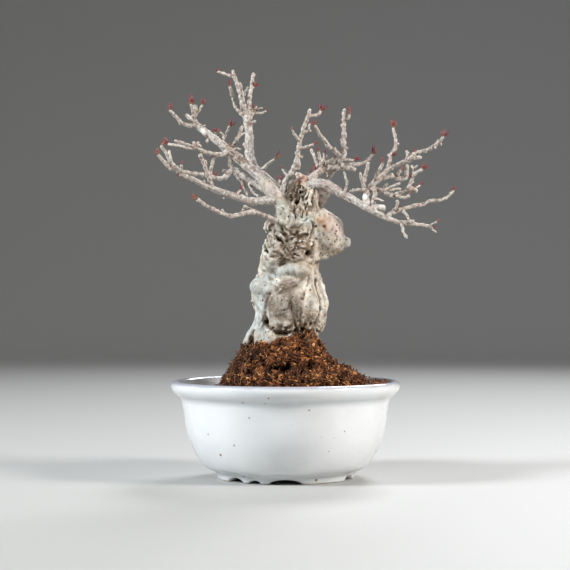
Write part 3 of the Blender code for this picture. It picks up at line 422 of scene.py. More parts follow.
def foot_lift(angle):
    """How high the foot's edge is cut away at an angle from the front, in mm."""
    lift = 0.0
    for middle, half_angle, height in FOOT_ARCHES:
        off = abs((angle - middle + 180) % 360 - 180) / half_angle
        if off < 1:
            lift = max(lift, height * (1 - off * off) ** ARCH_SHAPE)
    return lift


def corner_order(face):
    """A number for each face from its corners' numbers: the spin makes the faces in no fixed order."""
    corners = [vert.index for vert in face.verts]
    return min(corners) * 100000 + max(corners)


# %% Throw the pot
POT_STEPS = 180
FOOT_INSIDE = 28.0
FOOT_TOP = 6.0
THROWING_MARKS = ((45, 0.16), (140, 0.05))
smooth_part = flowing([Vector((r, z)) for r, z in POT_OUTSIDE], 1.5)
pot_outline = smooth_part + [Vector((r, z)) for r, z in POT_UNDERSIDE]
bm = bmesh.new()
corners = [bm.verts.new((POT_AXIS_ACROSS * MM, -r * MM, z * MM)) for r, z in pot_outline]
sides = [bm.edges.new((corners[i - 1], corners[i])) for i in range(len(corners))]
pot_axis = {"cent": (POT_AXIS_ACROSS * MM, 0, 0), "axis": (0, 0, 1)}
bmesh.ops.spin(bm, geom=corners + sides, **pot_axis, angle=math.tau, steps=POT_STEPS, use_merge=True)
bmesh.ops.remove_doubles(bm, verts=bm.verts, dist=1e-6)
bm.verts.index_update()
bm.faces.sort(key=corner_order)
for vert in bm.verts:
    across = vert.co.x / MM - POT_AXIS_ACROSS
    deep = vert.co.y / MM
    up = vert.co.z / MM
    radius = math.hypot(across, deep)
    if radius > FOOT_INSIDE:
        lift = foot_lift(math.degrees(math.atan2(across, -deep)))
        vert.co.z += lift * max(0, 1 - up / FOOT_TOP) * min(1, (radius - FOOT_INSIDE) / 2) * MM
    wobble = sum(noise.noise(vert.co * scale) * reach for scale, reach in THROWING_MARKS)
    if up > 5 and radius > 9:
        vert.co += Vector((across, deep, 0)).normalized() * wobble * MM
pot_mesh = finished(bm)
print("pot:", len(pot_mesh.polygons), "faces")

# %% [markdown]
# ## The glaze
# The glaze is a thick milky white with a cool cast, and glossy. The groove under the lip gets a little
# grey of painted shade, with some glaze pooled there. The glaze runs thin on top of the lip, where the
# body shows through bluish grey. Iron in the clay burns through in a few brown specks, and the ring
# that the pot stands on is bare clay. Colour follows the height on the pot, and noise breaks up every
# edge. A clear coat gives the wet shine.

# %% Mix the glaze
IRON_SPECKS = (
    (-22.3, 39.0, 0.5), (-19.1, 31.1, 0.4), (-8.9, 41.3, 0.45), (12.3, 35.1, 0.45), (-40.6, 22.5, 0.45),
    (-27.0, 16.7, 0.45), (-34.0, 11.6, 0.8), (-21.9, 0.5, 0.7), (16.1, -1.5, 0.8), (31.0, 24.0, 0.35),
)
LIP_LEVELS = (49.6, 51.2)
GROOVE_SHADE_LOW = (40.0, 42.4)
GROOVE_SHADE_HIGH = (45.2, 43.0)
BARE_LEVELS = (1.6, 0.9)
glaze = Finish("white_porcelain_glaze", Coat_Weight=0.35, Coat_Roughness=0.06, IOR=1.5)
uneven = glaze.cloud(9.0, 4.0)
edge = glaze.node("SeparateXYZ", "Z", {"Vector": glaze.place}) + uneven * (1.6 * MM)


def at_levels(levels):
    """A mask that goes from 0 to 1 between two heights on the pot, with an uneven edge."""
    return glaze.step(edge, *[level * MM for level in levels])


milk = glaze.mix(uneven, (0.63, 0.67, 0.70), (0.74, 0.76, 0.78))
milk = glaze.mix(glaze.cloud(28.0, 2.0) * 0.4, milk, (0.75, 0.72, 0.69))
milk = glaze.mix(at_levels(LIP_LEVELS) * 0.85, milk, (0.35, 0.36, 0.43))
# Painted shade in the groove under the lip, with a little pooled glaze.
milk = glaze.mix(at_levels(GROOVE_SHADE_LOW) * at_levels(GROOVE_SHADE_HIGH) * 0.35, milk, (0.52, 0.58, 0.60))
blotch = glaze.cloud(0.8, 3.0)
specks = glaze.dots(7.0, 0.30).larger(glaze.dots(11.0, 0.50)) * 0.7
pot_skin = skin_tree(pot_mesh)
for across, up, radius in IRON_SPECKS:
    inputs = {0: glaze.place, 1: tuple(dropped(pot_skin, across, up)[0])}
    away = glaze.node("VectorMath", "Value", inputs, operation="DISTANCE") + blotch * (0.9 * MM)
    specks = specks.larger(glaze.step(away, (radius + 0.75) * MM, (0.5 * radius + 0.3) * MM))
milk = glaze.mix(specks, milk, (0.20, 0.10, 0.045))
bare = at_levels(BARE_LEVELS)
milk = glaze.mix(bare, milk, (0.50, 0.42, 0.33))
gloss = 0.13 + 0.10 * uneven + bare * 0.5
glaze_skin = glaze.wear(milk, gloss, glaze.cloud(2.2, 2.0) * 0.35 + specks * -0.4, 0.05)
piece("pot_body", pot_mesh, glaze_skin, ["pot"])

# %% [markdown]
# ## The net over the drain hole
# Hidden under the soil lies a square of black plastic net. The CAD node already has its true shape,
# so it stays and only gets a finish: matt black plastic with the scuffs of a used net.

# %% Finish the net
net = Finish("black_plastic_net", Specular_IOR_Level=0.4)
scuff = net.cloud(1.5, 4.0)
plastic = net.mix(scuff, (0.012, 0.012, 0.013), (0.05, 0.048, 0.045))
cover(cad_nodes["drain_net"].data, net.wear(plastic, 0.45 + scuff * 0.3, scuff, 0.05))
print("net:", len(cad_nodes["drain_net"].data.polygons), "faces")

# %% [markdown]
# ## Soil
# The soil is a fill of small reddish brown fired-clay granules. The CAD fill stays as the ground
# between them, with a dark gritty finish, and loose granules are strewn over all of it that can be
# seen. One lumpy stone is shaped from an icosphere and copied with a new turn and size each time.

# %% Strewing
def strewn(templates, spots):
    """Copies of the templates, each moved by its own matrix, in one mesh."""
    bm = bmesh.new()
    counts = []
    for index, matrix in enumerate(spots):
        copy = templates[index % len(templates)].copy()
        copy.transform(matrix)
        counts.append(len(copy.vertices))
        bm.from_mesh(copy)
        bpy.data.meshes.remove(copy)
    return as_mesh(bm), np.array(counts)


def lump(seed, subdivisions, rough, flat=1.0):
    """A stone or crumb about 1 m across, to be scaled down."""
    bm = bmesh.new()
    bmesh.ops.create_icosphere(bm, subdivisions=subdivisions, radius=1.0)
    for vert in bm.verts:
        vert.co *= 1 + rough * noise.noise(vert.co * 0.9 + Vector((seed, 0, 0)))
        vert.co.z *= flat
    return finished(bm)


def turned_and_scaled(spot, size, chance):
    turn = Matrix.Rotation(chance.uniform(0, math.tau), 4, Vector([chance.gauss(0, 1) for _ in range(3)]))
    return Matrix.Translation(spot) @ turn @ Matrix.Scale(size * MM, 4)


# %% Granules
GRANULES = 1250
SOIL_LEVEL = 46.0
SOIL_RISE = 0.066
OUTER_RADIUS = 53.2
INNER_SHARE = 0.42
WALL_RADIUS = 53.9
WALL_SLOPE = 0.62
PILE = 1.2
chance = random.Random(41)
stones = [lump(seed * 3.7, 1, 0.75) for seed in range(5)]
granule_spots = []
while len(granule_spots) < GRANULES:
    angle = chance.uniform(0, math.tau)
    radius = OUTER_RADIUS * math.sqrt(chance.uniform(INNER_SHARE, 1.0))
    across, deep = radius * math.sin(angle), radius * math.cos(angle)
    size = chance.triangular(0.45, 1.25, 0.7)
    level = SOIL_LEVEL + SOIL_RISE * across
    if radius > WALL_RADIUS + (level - SOIL_LEVEL) * WALL_SLOPE - size - 0.3:
        continue
    pile = PILE * max(0, noise.noise(Vector((across, deep, 0)) * 0.12))
    height = level + 0.25 + pile + chance.uniform(-0.4, 0.3)
    spot = Vector((across + POT_AXIS_ACROSS, deep, height)) * MM
    granule_spots.append(turned_and_scaled(spot, size, chance))
granule_mesh, counts = strewn(stones, granule_spots)
keep(granule_mesh, tone=np.repeat([chance.random() for _ in counts], counts))
print("granules:", len(counts))

# %% [markdown]
# The granules differ from one to the next: most are reddish brown, some ochre, a few nearly black.
# A number that each granule keeps, its tone, picks its colour from a ramp, and fine noise adds dust.

# %% Finish the soil
def earth(name, stops, dust, grain):
    """A matt finish for loose stuff whose parts each keep a tone."""
    made = Finish(name, Specular_IOR_Level=0.25, Roughness=0.9)
    ramp = made.tree.nodes.new("ShaderNodeValToRGB")
    for position, colour in stops[1:-1]:
        ramp.color_ramp.elements.new(position)
    for element, (position, colour) in zip(ramp.color_ramp.elements, stops):
        element.position = position
        element.color = (*colour, 1.0)
    plug(ramp.inputs[0], made.kept("tone") * 0.85 + made.cloud(grain, 4.0) * 0.4 - 0.12)
    fine = made.cloud(0.45 * grain, 5.0)
    colour = made.mix(made.step(fine, 0.5, 0.8) * 0.35, Wire(ramp.outputs[0]), dust)
    return made, colour, fine


CLAY_STOPS = (
    (0.0, (0.025, 0.012, 0.008)), (0.3, (0.1, 0.04, 0.02)), (0.65, (0.22, 0.085, 0.04)),
    (1.0, (0.36, 0.19, 0.1)),
)
clay, clay_colour, clay_grain = earth("fired_clay_granules", CLAY_STOPS, (0.36, 0.22, 0.14), 1.2)
granule_skin = clay.wear(clay_colour, None, clay_grain, 0.12)
piece("soil_granules", granule_mesh, granule_skin, smooth=False)

ground = Finish("damp_ground", Specular_IOR_Level=0.3, Roughness=0.95)
clods = ground.mix(ground.cloud(1.1, 5.0), (0.012, 0.006, 0.004), (0.11, 0.05, 0.028))
cover(cad_nodes["soil"].data, ground.wear(clods, None, ground.cloud(0.8, 4.0), 0.5))

# %% [markdown]
# ## Threads of many kinds
# Twigs, strands of bark, fibres of moss and the dry stalk in the soil are all long round threads. A
# curve with a bevel is Blender's own way to make one: each spline is a thread, each of its points has
# a radius, and turning the curve into a mesh closes both ends.

# %% Threads
def threads(routes, sides):
    """A mesh of closed tubes. Each route is a list of 4-D points: x, y, z in metres, radius in mm."""
    curve = bpy.data.curves.new("threads", "CURVE")
    curve.dimensions = "3D"
    curve.bevel_depth = MM
    curve.bevel_resolution = sides // 2 - 2
    curve.use_fill_caps = True
    for route in routes:
        spline = curve.splines.new("POLY")
        spline.points.add(len(route) - 1)
        spline.points.foreach_set("co", [c for x, y, z, _ in route for c in (x, y, z, 1.0)])
        spline.points.foreach_set("radius", [point[3] for point in route])
    holder = bpy.data.objects.new("threads", curve)
    bpy.context.scene.collection.objects.link(holder)
    return welded(evaluated(holder), 2e-7)


def joined(*meshes):
    bm = bmesh.new()
    for mesh in meshes:
        bm.from_mesh(mesh)
    return as_mesh(bm)


def with_radius(point, radius):
    return Vector((*point, radius))

# %% [markdown]
# ## The trunk
# The old trunk is the heart of the tree: a hanging belly, a rope of living bark on the right, a
# smooth waist, a pink burl with a cut stub, and rough split bark on the upper left. The CAD trunk
# holds the large forms, so a copy of it is the block, and a voxel remesh gives it an even fine skin.
# Ropes, folds and pits are then carved as lines laid on the skin: each line is given as it is seen
# from the front, dropped on the bark along the line of sight, and vertices near it move out or in.

# %% The block
BLOCK_VOXEL = 0.7
TRUNK_VOXEL = 0.46


def block_of(node, voxel, rounds):
    """A CAD node's loose triangles joined into one mesh, with an even skin."""
    return grown_together(welded(cad_nodes[node].data, 1e-6), voxel, rounds)


trunk_block = block_of("trunk", BLOCK_VOXEL, 8)
trunk_skin = skin_tree(trunk_block)
print("block of the trunk:", len(trunk_block.vertices), "vertices")


def on_bark(across, up, lift=0.0):
    """The point of the trunk's front that is seen at across, up, raised by lift mm."""
    spot, normal = dropped(trunk_skin, across, up)
    if spot is None:
        spot, normal, _, _ = trunk_skin.find_nearest(seen(across, up, -2.0))
    return spot + normal * lift * MM

# %% [markdown]
# Lumps and loose strands are added before the remesh, so that they grow into the block. A strand is
# (thick, thin, route, lifts), and each lift says how far it stands off the skin there. Lumps are balls:
# the first kind sits in the front's skin, and the free kind at a depth of its own, such as the stub of
# a twig on the burl. A collar is a thick thread of bark that carries the trunk over onto a limb.

# %% Add strands and lumps
LOOSE_STRANDS = (
    (0.75, 0.65, ((5.0, 131.8), (7.7, 133.3), (10.4, 134.9), (13.4, 136.7)), (0.6, 1.6, 2.4, 3.0)),
    (1.0, 0.8, ((-7.6, 133.5), (-9.0, 131.4), (-8.2, 128.6)), (0.4, 0.3, 0.5)),
    (1.0, 0.9, ((1.5, 131.2), (6.0, 131.6), (9.5, 133.4)), (0.6, 0.5, 0.4)),
    (0.8, 0.6, ((8.6, 157.8), (6.6, 155.4), (4.8, 152.2), (3.6, 148.8)), (0.8, 1.2, 1.4, 1.0)),
    (0.7, 0.5, ((2.0, 152.5), (5.0, 150.8), (8.5, 150.2), (11.5, 151.4)), (1.0, 1.8, 1.6, 0.8)),
    (0.6, 0.5, ((7.6, 153.6), (7.2, 149.6), (5.2, 146.8), (1.5, 145.6)), (1.2, 1.6, 1.2, 0.6)),
    (0.65, 0.55, ((15.4, 155.5), (15.2, 150.0), (15.4, 144.0), (15.1, 138.5)), (0.5, 0.7, 0.6, 0.2)),
    (0.6, 0.55, ((14.2, 151.0), (13.9, 146.4), (14.3, 142.0), (14.0, 137.6)), (0.5, 0.7, 0.6, 0.2)),
)
BARK_LUMPS = (
    (8.8, 110.0, 5.2, 0.4), (3.8, 109.2, 5.4, 0.2), (-1.4, 108.6, 5.4, 0.0), (11.6, 153.6, 2.3, 0.6),
    (6.4, 155.4, 2.2, 0.8), (9.6, 146.0, 3.4, 0.3), (12.2, 141.5, 2.6, 0.2),
)
FREE_LUMPS = (
    (31.1, 123.4, -2.0, 3.35), (20.4, 149.2, -2.5, 3.3), (18.9, 145.8, -2.5, 3.0),
    (17.0, 142.4, -2.0, 3.0), (4.0, 153.8, -3.6, 2.7), (7.6, 156.2, -4.6, 2.3), (2.4, 151.6, -3.4, 2.2),
)
LIMB_COLLARS = (
    ((1.0, 134.5, -6.0, 4.2), (0.2, 138.0, -5.2, 4.7), (-1.4, 141.8, -4.9, 4.6),
        (-3.4, 145.0, -4.2, 4.4), (-5.8, 148.2, -2.0, 4.2), (-8.4, 151.6, 0.8, 3.9),
        (-12.0, 156.2, 3.8, 3.3)),
    ((-5.2, 134.9, -10.8, 1.25), (-2.4, 133.6, -11.4, 1.3), (0.4, 132.2, -11.8, 1.2),
        (3.2, 131.0, -11.2, 1.0)),
)
STRAND_STEP = 0.6 * MM
SUNK_SHARE = 0.75
strands = []
for collar in LIMB_COLLARS:
    points = [with_radius(seen(across, up, depth), radius) for across, up, depth, radius in collar]
    strands.append(flowing(points, STRAND_STEP))
for thick, thin, route, lifts in LOOSE_STRANDS:
    last = len(route) - 1
    points = [on_bark(*spot, lift) for spot, lift in zip(route, lifts)]
    points = [with_radius(p, thick + (thin - thick) * i / last) for i, p in enumerate(points)]
    strands.append(flowing(points, STRAND_STEP))
balls = [(on_bark(x, z, lift - SUNK_SHARE * radius), radius) for x, z, radius, lift in BARK_LUMPS]
balls += [(seen(x, z, depth), radius) for x, z, depth, radius in FREE_LUMPS]
bm = bmesh.new()
bm.from_mesh(trunk_block)
for spot, radius in balls:
    bmesh.ops.create_icosphere(bm, subdivisions=3, radius=radius * MM, matrix=Matrix.Translation(spot))
trunk_mesh = grown_together(joined(as_mesh(bm), threads(strands, 8)), TRUNK_VOXEL, 4)
print("trunk vertices:", len(trunk_mesh.vertices))

# %% [markdown]
# Each carving line is one row that ends with its points. Before them, a rope has its half width and
# height, and a fold its half width, depth and how much shade is painted into it. A pit is (across,
# up, radius, depth), and shade is painted into it too. A swell raises or sinks a wide round place and
# is (across, up, depth, radius, height), where no depth means that it lies on the front's skin.

# %% The carving lines
ROPES = (
    (1.0, 0.9, (-16.3, 105.9), (-12.1, 104.5), (-8.3, 103.2), (-4.4, 100.7), (-2.8, 98.2)),
    (0.8, 0.5, (-13.2, 110.1), (-9.9, 108.7), (-7.2, 106.2), (-3.9, 102.6)),
    (0.8, 0.5, (-7.4, 94.9), (-9.3, 90.8), (-8.5, 85.3), (-6.1, 80.6), (-2.2, 77.8), (2.2, 78.1)),
    (0.9, 0.25, (9.4, 104.0), (7.7, 97.9), (6.6, 92.4), (5.2, 85.3), (4.4, 79.7)),
    (0.8, 0.25, (13.2, 104.5), (12.1, 99.0), (9.9, 93.5), (8.8, 88.0), (9.4, 82.5), (11.6, 78.6)),
    (2.0, 0.6, (14.3, 100.7), (16.0, 94.1), (16.0, 88.6), (14.3, 83.6), (12.1, 80.3)),
    (1.7, 0.8, (17.6, 106.2), (19.3, 100.7), (20.3, 95.2), (20.4, 89.7), (19.4, 84.7), (17.0, 79.7),
        (15.4, 76.4)),
    (0.45, 0.25, (-2.5, 101.5), (1.1, 101.9), (5.2, 102.8)),
    (0.45, 0.25, (-2.2, 99.1), (1.7, 100.0), (6.1, 101.5)),
    (0.9, 0.9, (-8.3, 122.7), (-4.4, 119.7), (0.0, 116.1), (3.3, 113.9)),
    (0.8, 0.9, (-5.5, 127.2), (-1.7, 122.7), (2.2, 117.8), (6.6, 114.7)),
    (0.9, 0.8, (-7.7, 113.4), (-3.3, 115.3), (1.1, 114.7)),
    (0.8, 1.0, (0.0, 129.4), (3.3, 126.0), (6.6, 122.7), (11.0, 120.5), (13.8, 122.7)),
    (0.9, 0.9, (4.4, 121.6), (6.1, 117.8), (8.8, 115.0), (12.1, 113.9)),
    (0.8, 1.0, (12.1, 129.4), (11.6, 126.0), (8.8, 122.7), (6.6, 120.0)),
    (0.9, 0.7, (-10.5, 118.3), (-8.3, 116.1), (-6.6, 113.4), (-5.5, 111.2)),
    (0.9, 1.0, (-7.2, 129.4), (-5.5, 124.9), (-4.4, 121.6)),
    (0.7, 0.9, (-2.2, 142.0), (1.1, 141.5), (3.6, 138.2), (3.9, 133.8), (2.2, 131.6)),
    (0.9, 0.6, (17.6, 110.1), (22.1, 113.4), (26.5, 116.7), (30.9, 120.0), (33.6, 121.6)),
    (0.7, 0.7, (6.1, 139.3), (6.6, 136.0), (5.0, 133.8)),
    (0.8, 0.6, (-15.4, 90.8), (-13.2, 86.9), (-12.1, 82.5), (-13.2, 78.6)),
)
FOLDS = (
    (0.5, 1.5, 0.9, (15.2, 104.0), (15.7, 100.7), (16.5, 97.4), (17.6, 94.6), (18.1, 91.3)),
    (0.6, 0.9, 0.5, (18.1, 91.3), (18.0, 87.5), (16.5, 83.0), (14.6, 79.2)),
    (1.1, 2.4, 1.0, (-10.5, 81.9), (-8.3, 78.9), (-4.4, 76.2), (0.0, 75.2), (4.4, 76.7), (7.7, 78.6),
        (11.0, 76.4), (14.3, 77.3)),
    (0.8, 1.1, 0.55, (-8.3, 96.3), (-9.8, 92.4), (-10.3, 86.9), (-9.9, 81.9)),
    (0.35, 0.5, 0.6, (-2.8, 100.7), (1.1, 101.2), (5.5, 102.2)),
    (0.35, 0.5, 0.6, (-1.7, 98.2), (1.9, 99.1), (6.1, 100.5)),
    (0.35, 0.4, 0.6, (-2.2, 102.6), (2.2, 103.3), (6.1, 104.4)),
    (0.9, 0.6, 0.3, (19.3, 111.7), (16.5, 112.0), (14.1, 112.0), (11.6, 112.3)),
    (0.9, 0.5, 0.25, (-7.4, 110.3), (-2.8, 111.7), (1.1, 113.3), (4.4, 113.5), (8.8, 112.8)),
    (0.5, 0.3, 0.25, (13.3, 111.7), (13.0, 108.4), (12.1, 104.0), (11.6, 100.1)),
    (0.6, 0.35, 0.4, (4.4, 97.9), (3.3, 93.5), (3.6, 87.5), (6.6, 82.5)),
    (0.6, 0.4, 0.4, (8.0, 90.5), (7.9, 87.0), (7.7, 84.0), (6.6, 79.2)),
    (0.5, 0.3, 0.3, (12.1, 95.2), (11.0, 90.2), (9.9, 84.7), (10.2, 81.4)),
    (0.4, 0.5, 0.3, (-4.7, 86.6), (-1.7, 87.3), (3.3, 87.7)),
    (1.0, 0.8, 0.35, (-9.9, 96.4), (-6.6, 97.4), (-4.1, 98.5)),
    (0.6, 1.4, 0.8, (-2.8, 124.9), (-0.5, 121.6), (2.8, 117.2), (4.4, 115.0)),
    (0.6, 1.2, 0.8, (-5.8, 117.8), (-2.2, 117.5), (-0.3, 114.7)),
    (0.9, 1.8, 0.9, (3.3, 127.4), (6.6, 126.3), (11.0, 127.4)),
    (0.6, 1.2, 0.7, (6.6, 125.2), (4.4, 120.5), (2.8, 118.3)),
    (0.7, 1.2, 0.5, (14.1, 133.8), (14.6, 130.5), (13.3, 126.6), (14.6, 122.7), (13.8, 119.4)),
    (0.6, 1.4, 0.8, (9.9, 145.3), (10.4, 141.5), (11.3, 137.9)),
    (0.5, 1.2, 0.8, (7.7, 120.5), (11.0, 118.9), (12.1, 117.2)),
    (0.6, 1.2, 0.6, (4.4, 142.0), (6.6, 141.5), (8.8, 139.3), (8.8, 136.5)),
    (0.5, 0.9, 0.6, (-4.4, 127.2), (-5.0, 122.7), (-8.3, 120.0)),
    (0.5, 0.8, 0.4, (4.4, 139.8), (5.2, 136.5), (4.4, 132.7)),
    (0.5, 0.7, 0.4, (15.4, 152.5), (15.0, 147.6), (15.0, 142.6)),
    (0.6, 0.9, 0.5, (-9.4, 129.9), (-8.3, 124.9), (-5.5, 120.5)),
    (0.5, 0.8, 0.4, (-13.8, 88.0), (-11.6, 84.2), (-13.8, 79.7)),
    (0.8, 1.6, 0.7, (-16.8, 77.0), (-17.6, 73.1), (-17.4, 69.8)),
)
PITS = (
    (12.1, 117.2, 1.3, 4.0), (5.5, 144.1, 1.2, 2.4), (-7.6, 129.8, 0.8, 2.4), (-17.6, 73.1, 1.0, 3.0),
    (1.1, 123.8, 0.7, 1.0), (4.4, 117.2, 0.7, 1.2), (-0.5, 120.0, 0.6, 0.8), (6.1, 128.3, 1.0, 1.2),
    (13.2, 80.3, 0.9, 1.6), (8.8, 77.3, 0.9, 1.6), (5.5, 76.7, 0.8, 1.4), (2.8, 82.5, 0.5, 0.6),
    (6.6, 81.9, 0.6, 0.7), (10.2, 80.3, 0.7, 0.9), (2.8, 147.0, 1.3, 2.0), (8.0, 149.4, 1.2, 2.0),
    (16.0, 131.6, 0.6, 0.6), (20.3, 131.6, 0.8, 0.2), (16.1, 125.0, 0.6, 0.5), (26.0, 127.7, 0.45, 0.3),
    (26.9, 126.2, 0.45, 0.3), (28.7, 124.4, 0.5, 0.3), (22.1, 119.5, 0.5, 0.3), (19.1, 121.3, 0.45, 0.4),
    (21.8, 116.2, 0.45, 0.3), (25.4, 117.0, 0.45, 0.3), (27.0, 132.4, 0.5, 0.4), (3.7, 94.6, 0.5, 0.4),
    (1.0, 92.5, 0.45, 0.3), (-12.2, 92.8, 0.55, 0.5), (-11.6, 94.9, 0.4, 0.3), (9.4, 84.0, 0.5, 0.5),
    (-1.2, 140.6, 0.45, 0.5), (1.6, 136.6, 0.5, 0.5), (0.6, 141.8, 0.4, 0.4), (-2.6, 138.0, 0.45, 0.5),
    (2.6, 139.6, 0.4, 0.5), (-0.4, 135.6, 0.5, 0.5), (23.5, 121.8, 0.4, 0.2), (20.0, 127.0, 0.45, 0.25),
    (24.2, 129.8, 0.4, 0.2), (22.6, 124.6, 0.4, 0.2), (29.5, 121.0, 0.4, 0.2), (18.4, 117.6, 0.45, 0.3),
)
SWELLS = (
    (31.6, 128.9, -2.0, 2.6, -2.6), (20.8, 113.4, -2.0, 2.6, 1.4), (-13.0, 124.9, -8.0, 2.9, -3.4),
    (-10.5, 94.5, None, 2.6, -1.0), (26.0, 133.0, -2.0, 3.0, 0.8),
)

# %% [markdown]
# A line is laid on the bark along the line of sight, and every vertex is measured against it. Real
# ropes wander and swell, so the distance is taken from places that a noise has moved a little, and the
# height changes with a second noise. A bell curve over the distance gives each line its round profile.

# %% Lines on the bark
print("ropes, folds, pits and swells:", len(ROPES), len(FOLDS), len(PITS), len(SWELLS))
MARGIN = 5 * MM
CHUNK = 4000
FAR_OFF = 99.0
LINE_STEP = 0.4


def distance_to(table, line):
    """How far each place in the table is from the nearest point of a line, in mm."""
    line = np.array(line)
    near = np.full(len(table), FAR_OFF)
    low, high = line.min(axis=0) - MARGIN, line.max(axis=0) + MARGIN
    close = np.flatnonzero(((table > low) & (table < high)).all(axis=1))
    for start in range(0, len(close), CHUNK):
        some = close[start : start + CHUNK]
        gap = table[some][:, None, :] - line[None, :, :]
        near[some] = np.sqrt((gap * gap).sum(axis=2)).min(axis=1) / MM
    return near


def bell(distance, width):
    return np.exp(-((distance / width) ** 2))


def laid(route):
    """A route that is seen from the front, as points LINE_STEP mm apart on the bark."""
    return [on_bark(*spot) for spot in flowing([Vector(spot) for spot in route], LINE_STEP)]


def crooked(table, size, reach, seed):
    """The places, each moved up to reach mm by a noise, so that a line laid on them wanders."""
    scale = 1 / (size * MM)
    shift = Vector((seed, -seed, 2 * seed))
    away = np.array([noise.noise_vector(Vector(spot) * scale + shift) for spot in table])
    return table + reach * MM * away


# %% Carve the front
def along(route, width):
    """Lay a route, keep it for the grain, and measure the wandering bark against it."""
    grain_lines.append(laid(route))
    return distance_to(bark + (wandering - bark) * min(1, width), grain_lines[-1])


bark = places(trunk_mesh)
wandering = crooked(bark, 2.2, 0.9, 3.0)
uneven = crooked(bark, 1.2, 0.4, 5.0)
strength = np.clip(0.75 + 1.1 * roughness_at(bark, 3.0, 2, 8.0), 0.15, 1.5)
move = np.zeros(len(bark))
# The next table holds how much shade is painted into each vertex, in folds, pits, cracks and gaps.
dark = np.zeros(len(bark))
grain_lines = []
for width, rise, *route in ROPES:
    move += rise * strength * bell(along(route, width), width * 1.15)
for width, depth, darkness, *route in FOLDS:
    near = along(route, width)
    move -= depth * np.maximum(strength, 0.6) * bell(near, width)
    # painted shade along the fold
    dark = np.maximum(dark, darkness * np.clip(strength, 0.5, 1) * bell(near, width * 0.9))
for across, up, radius, depth in PITS:
    near = distance_to(uneven, [on_bark(across, up)])
    move -= depth * bell(near, radius)
    # painted shade in the pit
    dark = np.maximum(dark, bell(near, radius * 1.1))
for across, up, depth, radius, rise in SWELLS:
    spot = on_bark(across, up) if depth is None else seen(across, up, depth)
    move += rise * bell(distance_to(bark, [spot]), radius)
print("carved on the front, in mm:", round(float(move.min()), 2), "to", round(float(move.max()), 2))

# %% [markdown]
# The back, which the photograph doesn't show, gets ropes and folds from seeded chance. Each starts at
# a random angle and height and runs down with a sway. Points on it are found by looking in at the trunk
# from far outside. So the tree looks as old from behind.

# %% Carve the sides and the back
BACK_LINES = 44
BACK_STEPS = 24
BACK_SWAY = 7
TRUNK_AXIS = POT_AXIS_ACROSS + 3
ROPE_SHARE = 0.55
chance = random.Random(7)
for _ in range(BACK_LINES):
    turn = chance.uniform(-95, 95)
    start = chance.uniform(72, 152)
    length = chance.uniform(8, 30)
    lean = chance.uniform(-1.2, 1.2)
    line = []
    for step in range(BACK_STEPS + 1):
        height = start - length * step / BACK_STEPS
        sway = BACK_SWAY * math.sin(step / 2 + turn)
        angle = math.radians(turn + lean * length * step / BACK_STEPS + sway)
        out = Vector((math.sin(angle), math.cos(angle), 0))
        far = Vector((TRUNK_AXIS * MM, 0, height * MM)) + out * 0.1
        spot = trunk_skin.ray_cast(far, -out)[0]
        if spot is not None:
            line.append(spot)
    if len(line) < BACK_STEPS / 3:
        continue
    grain_lines.append(line)
    near = distance_to(wandering, line)
    if chance.random() < ROPE_SHARE:
        move += chance.uniform(0.5, 1.1) * strength * bell(near, chance.uniform(1.0, 1.8))
    else:
        width = chance.uniform(0.5, 1.0)
        move -= chance.uniform(0.9, 1.9) * strength * bell(near, width)
        # painted shade along the fold
        dark = np.maximum(dark, 0.7 * np.minimum(strength, 1) * bell(near, width))

# %% [markdown]
# Above the waist the bark has split into short curled strands, and below them lie dark gaps. A zone is
# (oval, number of strands, slopes at its left and right). Each strand is a short line at a random place
# in the oval. Where strands cross, the higher one wins, as in a real tangle.

# %% Split the bark
SPLIT_ZONES = (
    ((1.5, 123.5, 11.5, 7.5), 105, (-60, 50)), ((0.0, 116.0, 8.5, 3.6), 34, (5, 25)),
    ((9.0, 148.0, 7.5, 8.0), 60, (75, 110)), ((7.0, 79.0, 9.0, 4.5), 40, (80, 105)),
    ((-9.0, 122.0, 3.0, 7.0), 16, (-80, -60)), ((-13.0, 87.0, 3.5, 6.5), 16, (-95, -60)),
)
SLOPE_SPREAD = 16
chance = random.Random(12)
tangle = np.zeros(len(bark))
for (x, z, half_across, half_up), count, slopes in SPLIT_ZONES:
    for _ in range(count):
        turn = chance.uniform(0, 2 * math.pi)
        far = chance.random() ** 0.5
        middle = Vector((x + half_across * far * math.cos(turn), z + half_up * far * math.sin(turn)))
        share = min(max(0.5 + (middle.x - x) / (1.4 * half_across), 0), 1)
        slope = math.radians(slopes[0] + (slopes[1] - slopes[0]) * share + chance.gauss(0, SLOPE_SPREAD))
        run = Vector((math.cos(slope), math.sin(slope))) * chance.uniform(1.2, 3.4)
        bow = Vector((-run.y, run.x)) * chance.uniform(-0.35, 0.35)
        line = laid([middle - run, middle + bow, middle + run])
        near = distance_to(uneven, line)
        tangle = np.maximum(tangle, chance.uniform(0.5, 1.25) * bell(near, chance.uniform(0.45, 0.8)))
print("split strands:", sum(count for _, count, _ in SPLIT_ZONES))

# %% [markdown]
# Bark has a grain that flows round every rope and fold. To carve it, each vertex first finds the way
# in which the lines near it run. Then a spotty noise is smoothed along that way only, which combs the
# spots out into fine ridges, as hair is combed. Rough zones get deep tangled furrows on top, while
# the left bulge, the waist and the burl stay smooth.

